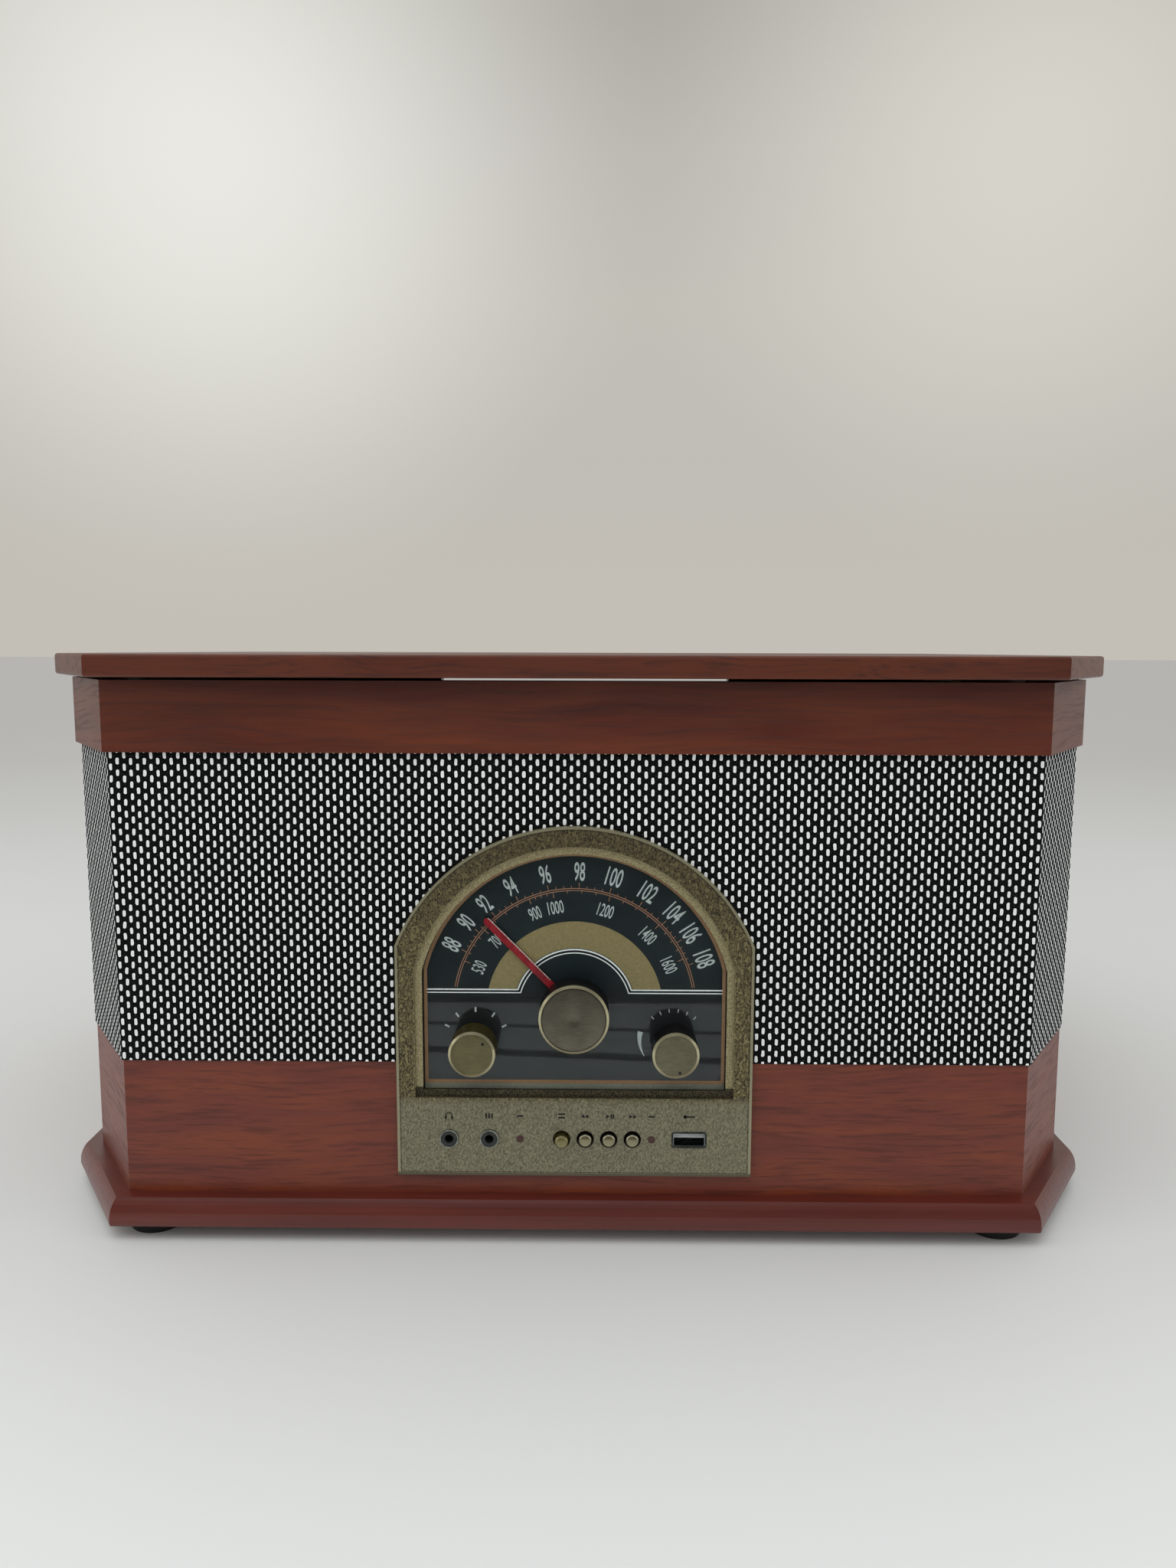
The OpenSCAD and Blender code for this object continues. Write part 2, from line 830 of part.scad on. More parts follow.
module control_board() {
    half = panel_w / 2 - housing_inset - housing_wall - 1;
    low = panel_z + housing_inset + housing_wall + 0.5;
    board_rise = 11;
    switch_half = 3;
    color("darkgreen") {
        translate([-half, board_y, low]) cube([2 * half, pcb_t, row_z + board_rise - low]);
        for (i = [0 : 3])
            translate([button_x + i * button_pitch - switch_half, board_y - switch_block,
                row_z - switch_half])
                cube([2 * switch_half, switch_block, 2 * switch_half]);
    }
}

module main_board() {
    half = post_x + 2.5;
    can_r = 5;
    can_l = 14;
    can_z = main_board_low + 12;
    can_xs = [-30, -18, 24];
    chip = [20, 10, 24];
    chip_x = 6;
    color("darkgreen") {
        translate([-half, housing_back, main_board_low])
            cube([2 * half, pcb_t, main_board_top - main_board_low]);
        for (x = can_xs)
            rod_y(x, can_z, housing_back + pcb_t, housing_back + pcb_t + can_l, can_r);
        translate([chip_x - chip[0] / 2, housing_back + pcb_t, can_z - chip[2] / 4]) cube(chip);
    }
}

module rotary_controls() {
    bore = shaft_r + run_gap;
    color("silver")
        difference() {
            union() {
                translate([-capacitor_w / 2, control_front, dial_z - capacitor_w / 2])
                    cube([capacitor_w, housing_back - control_front, capacitor_w]);
                rod_y(knob_x, knob_z, control_front, housing_back, pot_r);
                translate([-knob_x - switch_w / 2, control_front, knob_z - switch_w / 2])
                    cube([switch_w, housing_back - control_front, switch_w]);
            }
            rod_y(0, dial_z, control_front - through, housing_back - 2, bore);
            for (x = [-knob_x, knob_x])
                rod_y(x, knob_z, control_front - through, housing_back - 2, bore);
        }
}

module speaker_baskets() {
    rear = baffle_y + board_t;
    magnet_r = 0.55 * speaker_r;
    magnet_l = 11;
    wall = 1.5;
    cone_end = speaker_d - magnet_l;
    color("dimgray")
        for (side = [-1, 1])
            turned_y(side * speaker_x, speaker_z, rear, [
                [cone_hole_r - 1.5, 0], [speaker_r, 0], [speaker_r, wall], [cone_hole_r - 1, wall],
                [cone_hole_r - 6, cone_end], [magnet_r, cone_end], [magnet_r, speaker_d],
                [0, speaker_d], [0, cone_end - wall], [cone_hole_r - 7.5, cone_end - wall],
                [cone_hole_r - 2.5, wall], [cone_hole_r - 1.5, wall]
            ]);
}

module speaker_cones() {
    rear = baffle_y + board_t;
    edge = cone_hole_r - 3.2;
    depth = 0.4 * speaker_d;
    color("black")
        for (side = [-1, 1])
            turned_y(side * speaker_x, speaker_z, rear - 3, [
                [edge, 0], [cone_hole_r - 0.2, 0], [cone_hole_r - 0.2, 2.8], [edge, 1.2],
                [0.25 * speaker_r, depth], [0, depth - 2], [0, depth - 3.2],
                [0.25 * speaker_r, depth - 1.2]
            ]);
}

module ferrite_aerial() {
    half = 50;
    rod_r = 5;
    stand_off = 7;
    foot_in = 8;
    foot_half = 3;
    y = housing_back + pcb_t + stand_off;
    z = main_board_top - rod_r - foot_half;
    color("dimgray") {
        rod_x(y, z, -half, half, rod_r);
        for (x = [foot_in - half, half - foot_in])
            translate([x - foot_half, housing_back + pcb_t, z - foot_half])
                cube([2 * foot_half, stand_off, 2 * foot_half]);
    }
}

module motor() {
    color("silver")
        difference() {
            union() {
                rod_z(motor_x, motor_y, deck_under - motor_h, deck_under, motor_r);
                rod_z(motor_x, motor_y, deck_under, deck_z - 1, motor_hole_r - 0.5);
            }
            rod_z(motor_x, motor_y, deck_under - motor_h + 4, deck_z, motor_shaft_r + run_gap);
        }
}

// Points of a loop round the drive rim and the pulley, at a distance outside both
function belt_points(out) =
    let (
        big = rim_r + out,
        small = pulley_r + out,
        lean = acos((big - small) / motor_d),
        steps = 48
    )
    concat(
        [for (i = [0 : steps])
            let (a = lean + (360 - 2 * lean) * i / steps)
            [big * cos(a), big * sin(a)]],
        [for (i = [0 : 12])
            let (a = -lean + 2 * lean * i / 12)
            [motor_d + small * cos(a), small * sin(a)]]
    );

module drive_belt() {
    slack = 0.35;
    color("black")
        translate([spindle_x, spindle_y, belt_z])
            rotate(motor_angle)
                linear_extrude(belt_h)
                    difference() {
                        polygon(belt_points(slack + belt_t));
                        polygon(belt_points(slack));
                    }
}

module platter_bearing() {
    color("silver")
        difference() {
            union() {
                rod_z(spindle_x, spindle_y, deck_z - bearing_depth - 2, deck_z, bearing_r);
                rod_z(spindle_x, spindle_y, deck_z, deck_z + flange_h, bearing_r + 5);
            }
            rod_z(spindle_x, spindle_y, deck_z - bearing_depth, deck_z + through, bearing_bore);
        }
}

module rear_sockets() {
    plate = 1.5;
    plate_w = 38;
    plate_h = 18;
    body_l = 10;
    bore_l = 8;
    plug_l = 5;
    color("black") {
        difference() {
            union() {
                translate([-line_x - plate_w / 2, back_y, socket_z - plate_h / 2])
                    cube([plate_w, plate, plate_h]);
                for (x = line_xs) {
                    rod_y(x, socket_z, back_y - body_l, back_y, line_body_r);
                    rod_y(x, socket_z, back_y + plate, back_y + plate + plug_l, line_plug_r);
                }
            }
            for (x = line_xs)
                rod_y(x, socket_z, back_y - bore_l, back_y + plate + plug_l + through, line_bore);
        }
        difference() {
            union() {
                rod_y(-inlet_x, socket_z, back_y, back_y + plate, inlet_body_r + 2.5);
                rod_y(-inlet_x, socket_z, back_y - body_l, back_y, inlet_body_r);
            }
            rod_y(-inlet_x, socket_z, back_y - bore_l, back_y + plate + through, inlet_bore);
        }
    }
}

module wood_screws() {
    color("silver")
        for (p = screw_places) {
            rod_y(p[0], p[1], back_y - screw_l, back_y, screw_r);
            rod_y(p[0], p[1], back_y, back_y + 1.5, screw_head_r);
        }
}

module arm_base() {
    guide = [arm_x + lift_d * cos(lift_angle), arm_y + lift_d * sin(lift_angle)];
    foot_t = 3;
    foot_half = 5;
    bush_low = deck_under - 6;
    color("black") {
        difference() {
            union() {
                rod_z(arm_x, arm_y, deck_z, deck_z + turret_h, turret_r);
                rod_z(arm_x, arm_y, bush_low, deck_z, arm_bush_r);
                rod_z(guide[0], guide[1], deck_z, deck_z + guide_h, foot_half);
                translate([guide[0] - foot_half, guide[1], deck_z])
                    cube([2 * foot_half, arm_y - guide[1], foot_t]);
                translate([arm_x, cue_y - foot_half, deck_z])
                    cube([cue_x - arm_x, 2 * foot_half, foot_t]);
                translate([cue_x - foot_t, cue_y - foot_half, deck_z])
                    cube([foot_t, 2 * foot_half, cue_z + cue_hub_r - deck_z]);
            }
            rod_z(arm_x, arm_y, bush_low - through, deck_z + turret_h + through,
                arm_shaft_r + run_gap);
            rod_z(guide[0], guide[1], deck_z + 1, deck_z + guide_h + through,
                plunger_r + run_gap);
            rod_x(cue_y, cue_z, cue_x - foot_t - through, cue_x + through, cue_pin_r);
        }
        arm_rest();
    }
}

// The post and cradle that the arm lies on, open towards the platter
module arm_rest() {
    shelf_top = arm_z - tube_r - fit_gap;
    shelf_low = shelf_top - cradle_t;
    wall_x = arm_x + tube_r + 1;
    foot_top = deck_z + 4;
    rod_z(arm_x, rest_y, deck_z, foot_top, 8);
    rod_z(arm_x, rest_y, foot_top, shelf_low, 4);
    translate([arm_x - cradle_t, rest_y - cradle_l / 2, shelf_low])
        cube([wall_x + 2 * cradle_t - arm_x, cradle_l, cradle_t]);
    difference() {
        translate([wall_x, rest_y - cradle_l / 2, shelf_low])
            cube([cradle_t, cradle_l, arm_z + 3 - shelf_low]);
        rod_y(clip_pin[0], clip_pin[1], rest_y - cradle_l / 2 - through,
            rest_y + cradle_l / 2 - 2, clip_pin_r + run_gap);
    }
}

module lid_bumpers() {
    color("gray")
        both_sides()
            for (p = [[front_w / 2 - 12, front_y + 3], [rail_inner_x - 10, rear_y - rail_t / 2]])
                rod_z(p[0], p[1], rail_top, lid_z - 0.2, 4);
}

module stay_track() {
    x = rail_inner_x - track_w;
    low = track_z - track_slot / 2 - track_wall;
    color("silver")
        difference() {
            translate([x, track_front, low])
                cube([track_w, track_back - track_front, track_slot + 2 * track_wall]);
            translate([x - through, track_front + track_wall, low + track_wall])
                cube([track_w - track_wall + through,
                    track_back - track_front - 2 * track_wall, track_slot]);
        }
}

// One hinge's knuckle, round the hinge line
module knuckle(from, to) {
    rod_x(hinge_line_y, hinge_line_z, from, to, hinge_r);
}

knuckle_l = (hinge_l - 2 * fit_gap) / 3;

module hinge_leaves() {
    leaf_h = 20;
    color("goldenrod")
        both_sides()
            translate([hinge_x - hinge_l / 2, 0, 0])
                difference() {
                    union() {
                        translate([0, rear_y, hinge_line_z - leaf_h])
                            cube([hinge_l, leaf_t, leaf_h]);
                        for (x = [0, hinge_l - knuckle_l]) {
                            knuckle(x, x + knuckle_l);
                            translate([x, rear_y, hinge_line_z - hinge_r])
                                cube([knuckle_l, hinge_line_y - rear_y, hinge_r]);
                        }
                        rod_x(hinge_line_y, hinge_line_z, 0, hinge_l, hinge_pin_r);
                    }
                    translate([knuckle_l, rear_y - through, hinge_line_z - hinge_r - slide_gap])
                        difference() {
                            cube([knuckle_l + 2 * fit_gap, 10, 10]);
                            translate([-through, hinge_line_y - rear_y + through,
                                hinge_r + slide_gap])
                                rotate([0, 90, 0])
                                    cylinder(h = hinge_l, r = hinge_pin_r);
                        }
                }
}

module lid_hinge_leaves() {
    leaf_top = lid_z + lid_t - lid_round;
    middle = knuckle_l + fit_gap;
    color("goldenrod")
        both_sides()
            translate([hinge_x - hinge_l / 2, 0, 0])
                difference() {
                    union() {
                        translate([0, rear_y, hinge_line_z + hinge_r + slide_gap])
                            cube([hinge_l, leaf_t, leaf_top - hinge_line_z - hinge_r - slide_gap]);
                        translate([middle, rear_y, hinge_line_z + fit_gap])
                            cube([knuckle_l, leaf_t, hinge_r + slide_gap]);
                        translate([middle, rear_y, hinge_line_z + fit_gap])
                            cube([knuckle_l, hinge_line_y - rear_y, hinge_r - fit_gap]);
                        knuckle(middle, middle + knuckle_l);
                    }
                    rod_x(hinge_line_y, hinge_line_z, -through, hinge_l + through,
                        hinge_pin_r + run_gap);
                }
}

module lid_panel() {
    color("brown")
        moulded_board(lid_z, rear_y, lid_edge);
}

module stay_bracket() {
    plate = [8, 20, 1.5];
    ear_half = 5;
    ear_low = stay_z - 4;
    color("silver")
        difference() {
            union() {
                translate([ear_x, stay_y - plate[1] / 2, lid_z - plate[2]]) cube(plate);
                translate([ear_x, stay_y - ear_half, ear_low])
                    cube([ear_w, 2 * ear_half, lid_z - ear_low]);
            }
            rod_x(stay_y, stay_z, ear_x - through, ear_x + ear_w + through,
                stay_pin_r + run_gap);
        }
}

module stay_arm() {
    track_reach = rail_inner_x - track_wall - 1;
    color("silver") {
        translate([stay_x, stay_y, stay_z])
            rotate([stay_slope, 0, 0])
                mirror([0, 1, 0]) {
                    rotate([0, 90, 0]) cylinder(h = stay_t, r = stay_w / 2);
                    translate([0, stay_l, 0]) rotate([0, 90, 0]) cylinder(h = stay_t, r = stay_w / 2);
                    translate([0, 0, -stay_w / 2]) cube([stay_t, stay_l, stay_w]);
                }
        rod_x(stay_y, stay_z, stay_x, ear_x + ear_w + slide_gap, stay_pin_r);
        rod_x(stay_end_y, stay_end_z, stay_x, track_reach, stay_roller_r);
    }
}

module platter() {
    color("silver")
        translate([spindle_x, spindle_y, 0])
            rotate_extrude($fn = 128)
                polygon([
                    [journal_r, hub_z], [hub_r, hub_z], [hub_r, rim_top],
                    [rim_r - skirt_t, rim_top], [rim_r - skirt_t, rim_z],
                    [rim_r, rim_z], [rim_r, rim_top],
                    [platter_r - skirt_t, rim_top], [platter_r - skirt_t, platter_z],
                    [platter_r - 0.5, platter_z], [platter_r, platter_z + 0.5],
                    [platter_r, mat_z - 1], [platter_r - 1, mat_z], [journal_r, mat_z]
                ]);
}

module platter_mat() {
    color("black")
        difference() {
            rod_z(spindle_x, spindle_y, mat_z, mat_z + mat_t, platter_r - 2);
            rod_z(spindle_x, spindle_y, mat_z - through, mat_z + mat_t + through, journal_r);
        }
}

module spindle() {
    tip = 2;
    low = deck_z - bearing_depth + fit_gap;
    shoulder = mat_z + mat_t;
    top = shoulder + spindle_h;
    color("silver")
        translate([spindle_x, spindle_y, 0])
            rotate_extrude()
                polygon([
                    [0, low], [journal_r, low], [journal_r, shoulder], [spindle_r, shoulder],
                    [spindle_r, top - tip], [spindle_r - 1.6, top - 0.4], [0, top]
                ]);
}

module motor_pulley() {
    low = deck_under - motor_h + 5;
    lip = pulley_r + 0.2;
    top = belt_z + belt_h;
    color("gold")
        translate([motor_x, motor_y, 0])
            rotate_extrude()
                polygon([
                    [0, low], [motor_shaft_r, low], [motor_shaft_r, belt_z - 1], [lip, belt_z - 1],
                    [lip, belt_z - 0.4], [pulley_r, belt_z], [pulley_r, top], [lip, top + 0.2],
                    [0, top + 0.2]
                ]);
}

module arm_yoke() {
    low = deck_z + turret_h + fit_gap;
    color("silver")
        difference() {
            union() {
                rod_z(arm_x, arm_y, low - arm_shaft_l, low, arm_shaft_r);
                rod_z(arm_x, arm_y, low, low + yoke_t, yoke_r);
                for (side = [-1, 1])
                    translate([arm_x + side * (ear_gap + ear_t / 2) - ear_t / 2, arm_y - 6, low])
                        cube([ear_t, 12, arm_z + 5 - low]);
            }
            rod_x(arm_y, arm_z, arm_x - 10, arm_x + 10, axle_r + run_gap);
        }
}

module tonearm() {
    color("black") {
        rod_y(arm_x, arm_z, shell_front + shell_l - 4, arm_y + 15, tube_r);
        rod_y(arm_x, arm_z, arm_y + 14, arm_y + arm_tail, 2 * tube_r);
        rod_x(arm_y, arm_z, arm_x - ear_gap - ear_t, arm_x + ear_gap + ear_t, axle_r);
        translate([arm_x - shell_w / 2, shell_front, shell_z])
            cube([shell_w, shell_l, shell_t]);
        translate([arm_x + shell_w / 2, shell_front + shell_lead, shell_z])
            cube([8, 5, 1.5]);
    }
}

module cartridge() {
    stylus_y = arm_y - arm_l;
    body_low = stylus_z + 2;
    color("red") {
        translate([arm_x - cartridge_w / 2, shell_front + 2, body_low])
            cube([cartridge_w, cartridge_l, shell_z - body_low]);
        translate([arm_x, stylus_y, stylus_z])
            cylinder(h = body_low - stylus_z, r1 = 0.3, r2 = 1.2);
    }
}

module arm_clip() {
    plane = rest_y - cradle_l / 2 - fit_gap - clip_t;
    outer = tube_r + 2.2;
    inner = tube_r + 0.6;
    hub = 3.2;
    tube = [arm_x, arm_z] - clip_pin;
    color("black")
        translate([clip_pin[0], 0, clip_pin[1]])
            rotate([0, clip_open, 0]) {
                standing(plane, clip_t) {
                    circle(hub);
                    translate(tube)
                        difference() {
                            circle(outer);
                            circle(inner);
                            translate([-2 * outer, -2 * outer - 2]) square(2 * outer);
                            translate([0, -2 * outer]) square(2 * outer);
                        }
                }
                rod_y(0, 0, plane, rest_y + cradle_l / 2 - 2 - fit_gap, clip_pin_r);
            }
}

module cue_lever() {
    color("black")
        difference() {
            union() {
                rod_x(cue_y, cue_z, cue_x + fit_gap, cue_x + fit_gap + cue_hub_w, cue_hub_r);
                rod_x(cue_y, cue_z, cue_x - 2.8, cue_x + fit_gap, cue_pin_r - run_gap);
                translate([cue_x + fit_gap + 1, cue_y, cue_z])
                    rotate([180 - cue_angle, 0, 0]) {
                        translate([0, 0, -1.5]) cube([3, cue_l, 3]);
                        translate([1.5, cue_l, 0]) sphere(3);
                    }
            }
        }
}

module lift_bar() {
    color("silver") {
        translate([arm_x, arm_y, lift_top - lift_t])
            rotate(lift_angle - lift_half)
                rotate_extrude(angle = 2 * lift_half)
                    translate([lift_d - lift_w / 2, 0]) square([lift_w, lift_t]);
        rod_z(arm_x + lift_d * cos(lift_angle), arm_y + lift_d * sin(lift_angle),
            deck_z + 1.5, lift_top - lift_t / 2, plunger_r);
    }
}

// A slide switch: knob above the deck, stem in its slot, retaining plate below
module slide_switch(y) {
    plate = [10, 8, 1.5];
    color("silver") {
        translate([switch_x - switch_knob[0] / 2, y - switch_knob[1] / 2, deck_z + fit_gap])
            cube(switch_knob);
        translate([switch_x - switch_stem[0] / 2, y - switch_stem[1] / 2, deck_under - 1])
            cube([switch_stem[0], switch_stem[1], deck_t + 2]);
        translate([switch_x - plate[0] / 2, y - plate[1] / 2, deck_under - fit_gap - plate[2]])
            cube(plate);
    }
}

module speed_switch() {
    slide_switch(speed_y);
}

module stop_switch() {
    slide_switch(stop_y);
}

module record_adapter() {
    low = deck_z - adapter_recess + 0.2;
    color("black")
        translate([adapter_x, adapter_y, low])
            rotate_extrude()
                polygon([
                    [record_hole_r, 0], [adapter_r, 0], [adapter_r, adapter_h - 1.5],
                    [adapter_r - 3, adapter_h], [record_hole_r, adapter_h]
                ]);
}

// A knob with a bevelled rim and a sunk face, bored for its shaft
module knob_body(x, z, r) {
    rim = 1;
    turned_y(x, z, knob_front, [
        [0, 0.4], [r - rim - 0.4, 0.4], [r - rim, 0], [r, rim * 0.8],
        [r, knob_l], [r - 1.5, knob_l], [r - 1.5, 6], [shaft_r, 6], [shaft_r, 3], [0, 3]
    ]);
}

module tuning_knob() {
    color("darkkhaki") knob_body(0, dial_z, tuning_r);
}

// The pointer turns with the tuning shaft, on a hub between the window and the dial plate
module dial_pointer() {
    color("red") {
        translate([0, 0, dial_z])
            rotate([0, pointer_angle, 0])
                standing(pointer_y, pointer_t)
                    polygon([[-pointer_w / 2, 0], [pointer_w / 2, 0],
                        [pointer_w / 2, pointer_l - 1], [0.6, pointer_l],
                        [-0.6, pointer_l], [-pointer_w / 2, pointer_l - 1]]);
        rod_y(0, dial_z, pointer_y, pointer_y + pointer_t, 6);
        rod_y(0, dial_z, knob_front + 3, housing_back - 2.3, shaft_r);
    }
}

// A small knob and its shaft in one piece
module small_knob(x) {
    color("darkkhaki") {
        knob_body(x, knob_z, knob_r);
        rod_y(x, knob_z, knob_front + 2.5, housing_back - 2.3, shaft_r);
    }
}

module volume_knob() {
    small_knob(knob_x);
}

module function_knob() {
    small_knob(-knob_x);
}

// A push button: cap, a flange behind the panel as its stop, and a plunger
module push_button(index, extra) {
    x = button_x + index * button_pitch;
    front = panel_y - button_proud - extra;
    flange = panel_y + face_t + fit_gap;
    color("darkkhaki") {
        turned_y(x, row_z, front, [
            [0, 0], [button_r - 0.5, 0], [button_r, 0.5], [button_r, flange - front],
            [button_flange_r, flange - front], [button_flange_r, flange - front + 1],
            [1.5, flange - front + 1],
            [1.5, board_y - switch_block - button_travel - fit_gap - front],
            [0, board_y - switch_block - button_travel - fit_gap - front]
        ]);
    }
}

module button_source() {
    push_button(0, latch_proud);
}

module button_back() {
    push_button(1, 0);
}

module button_play() {
    push_button(2, 0);
}

module button_forward() {
    push_button(3, 0);
}

base_board();
rubber_feet();
front_board();
corner_boards();
side_boards();
back_panel();
speaker_baffles();
grille_cloth();
rail_front();
side_rails();
rail_rear();
deck_battens();
deck();
bezel();
dial_plate();
dial_window();
front_jacks();
usb_socket();
indicator_lamps();
control_board();
main_board();
rotary_controls();
speaker_baskets();
speaker_cones();
ferrite_aerial();
motor();
drive_belt();
platter_bearing();
rear_sockets();
wood_screws();
arm_base();
lid_bumpers();
stay_track();
hinge_leaves();
lid_panel();
lid_hinge_leaves();
stay_bracket();
stay_arm();
platter();
platter_mat();
spindle();
motor_pulley();
arm_yoke();
tonearm();
cartridge();
arm_clip();
cue_lever();
lift_bar();
speed_switch();
stop_switch();
record_adapter();
tuning_knob();
dial_pointer();
volume_knob();
function_knob();
button_source();
button_back();
button_play();
button_forward();
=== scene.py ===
# %% [markdown]
# # A table-top record player, dressed
#
# The solids come from the CAD model. This file gives each of them the finish of the real
# thing and adds what is too fine for a solid: the printed dial, the woven cloth, grooves
# in the mat, screw heads and small marks. Everything is in metres, with X to the right,
# Y to the back and Z up.

# %% Load the frame
import math

import bpy
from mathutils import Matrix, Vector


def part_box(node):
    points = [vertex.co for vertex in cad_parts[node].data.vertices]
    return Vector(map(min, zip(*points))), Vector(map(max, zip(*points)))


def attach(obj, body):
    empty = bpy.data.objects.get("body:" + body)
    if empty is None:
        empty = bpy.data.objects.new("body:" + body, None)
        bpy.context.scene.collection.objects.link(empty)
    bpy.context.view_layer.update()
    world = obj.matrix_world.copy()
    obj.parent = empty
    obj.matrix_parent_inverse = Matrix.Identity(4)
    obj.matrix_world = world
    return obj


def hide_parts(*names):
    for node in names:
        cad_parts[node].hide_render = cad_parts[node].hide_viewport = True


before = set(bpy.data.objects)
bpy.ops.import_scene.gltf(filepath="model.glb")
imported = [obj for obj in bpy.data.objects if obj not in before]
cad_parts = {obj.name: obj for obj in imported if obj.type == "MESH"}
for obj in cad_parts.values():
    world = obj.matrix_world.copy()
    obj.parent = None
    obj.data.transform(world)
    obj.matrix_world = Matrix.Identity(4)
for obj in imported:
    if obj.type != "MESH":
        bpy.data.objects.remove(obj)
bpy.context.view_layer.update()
MM = 0.001

# %% [markdown]
# ## The camera
#
# The photograph was taken from close by, a little above the front panel and looking down
# by about seven degrees, with a wide lens. A camera is placed by where it stands and by
# three angles. The place and the angles here come from matching the corners of the
# cabinet in the picture.

# %% Place the camera
CAMERA_AT = (9.2 * MM, -609.3 * MM, 242.2 * MM)
LOOK_DOWN = math.radians(6.775)
LOOK_LEFT = math.radians(0.526)
TILT = math.radians(-0.17)

bpy.ops.object.camera_add(location=CAMERA_AT)
camera = bpy.context.object
camera.name = "camera"
camera.rotation_euler = (math.radians(90) - LOOK_DOWN, TILT, LOOK_LEFT)
camera.data.sensor_fit = "AUTO"
camera.data.sensor_width = 36
camera.data.lens = 26.0
camera.data.clip_start = 0.01
bpy.context.scene.camera = camera
print("camera:", [round(c, 4) for c in camera.location], "lens", camera.data.lens)

# %% [markdown]
# ## Colours
#
# Colours are easiest to read off a picture as screen values from 0 to 255, while a shader
# wants them linear. One small function turns the first into the second.

# %% Screen colour to shader colour
def tone(red, green, blue):
    """A shader colour from screen values of 0 to 255."""
    def linear(value):
        part = value / 255
        return part / 12.92 if part <= 0.04045 else ((part + 0.055) / 1.055) ** 2.4
    return (linear(red), linear(green), linear(blue), 1.0)


print("mid grey is", round(tone(128, 128, 128)[0], 3))

# %% [markdown]
# ## Working with shader nodes
#
# Each finish below is a small network of nodes. These helpers keep the networks short to
# write: one starts a material, one adds a node and wires its inputs, and the others make
# the few kinds of node that nearly every finish needs.

# %% Start a material and add nodes
def main_shader(made):
    """The shader that a new material starts with."""
    return made.node_tree.nodes["Principled BSDF"]


def finish(name, colour, roughness, metallic=0.0, coat=0.0):
    """A new material with its main shader set up."""
    made = bpy.data.materials.new(name)
    made.use_nodes = True
    inputs = main_shader(made).inputs
    inputs["Base Color"].default_value = colour
    inputs["Roughness"].default_value = roughness
    inputs["Metallic"].default_value = metallic
    inputs["Coat Weight"].default_value = coat
    inputs["Coat Roughness"].default_value = 0.25
    return made


def add(made, kind, inputs=None, **settings):
    """Adds a node; an input given as a socket is wired, any other is set."""
    node = made.node_tree.nodes.new("ShaderNode" + kind)
    for key, value in settings.items():
        setattr(node, key, value)
    for key, value in (inputs or {}).items():
        if isinstance(value, bpy.types.NodeSocket):
            made.node_tree.links.new(value, node.inputs[key])
        else:
            node.inputs[key].default_value = value
    return node


def wire(made, **sockets):
    """Wires sockets to the main shader; Base_Color stands for Base Color."""
    for key, socket in sockets.items():
        made.node_tree.links.new(socket, main_shader(made).inputs[key.replace("_", " ")])
    return made


def dress(made, *names):
    """Gives CAD nodes a finish through their material slots."""
    for name in names:
        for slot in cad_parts[name].material_slots:
            slot.material = made
    print("finish:", made.name, "on", ", ".join(names))


print("a finish can be started, wired and worn")

# %% Arithmetic in a material
def calc(made, operation, *values):
    """The result of one step of arithmetic on numbers or sockets."""
    return add(made, "Math", dict(enumerate(values)), operation=operation).outputs[0]


def scaled(made, value, factor, start=0.0):
    """A value times a factor, on top of a start."""
    return calc(made, "MULTIPLY_ADD", value, factor, start)


def between(made, value, low, high):
    """0 below low, 1 above high, and an even slope from one to the other."""
    return add(made, "MapRange", {0: value, 1: low, 2: high}).outputs[0]


print("numbers can be worked out")

# %% Places, patterns and colours
def place(made, scale=(1, 1, 1), offset=(0, 0, 0), turn=(0, 0, 0)):
    """Places on the object in metres, stretched and moved for a pattern."""
    where = add(made, "TexCoord").outputs["Object"]
    return add(made, "Mapping", {0: where, 1: offset, 2: turn, 3: scale}).outputs[0]


def axes(made, where):
    """The x, y and z of a place."""
    return add(made, "SeparateXYZ", {0: where}).outputs


def noise(made, where, scale, detail=3.0, roughness=0.5):
    """Cloudy values about 0.5."""
    return add(made, "TexNoise", {"Vector": where, "Scale": scale, "Detail": detail,
                                  "Roughness": roughness}).outputs[0]


def mixed(made, share, first, second):
    """A colour between two colours."""
    return add(made, "Mix", {0: share, 6: first, 7: second}, data_type="RGBA").outputs[2]


def ramp(made, value, *stops):
    """A colour picked along stops of (position, colour)."""
    node = add(made, "ValToRGB", {0: value})
    line = node.color_ramp.elements
    line[0].position, line[0].color = stops[0]
    line[1].position, line[1].color = stops[-1]
    for position, colour in stops[1:-1]:
        line.new(position).color = colour
    return node.outputs[0]


print("patterns and colours can be made")

# %% [markdown]
# ## Working in edit mode
#
# A piece starts as a primitive of the right size at the right place, and is shaped in edit
# mode. Operators act on whatever is selected, so the helpers first clear the selection,
# and pick faces in code by the way they look. When a piece is done its place is in its
# mesh, and its object sits at the origin like a CAD node.

# %% Selecting and starting
def leave():
    """Back from edit mode to object mode."""
    bpy.ops.object.mode_set(mode="OBJECT")


def clear():
    """Nothing selected and no edit mode."""
    if bpy.context.object and bpy.context.object.mode != "OBJECT":
        leave()
    bpy.ops.object.select_all(action="DESELECT")


def hold(piece):
    """Only this piece is selected and active."""
    clear()
    piece.select_set(True)
    bpy.context.view_layer.objects.active = piece
    return piece


def settle():
    """Puts the active piece's place, turn and size into its mesh."""
    bpy.ops.object.transform_apply(location=True, rotation=True, scale=True)
    return bpy.context.object


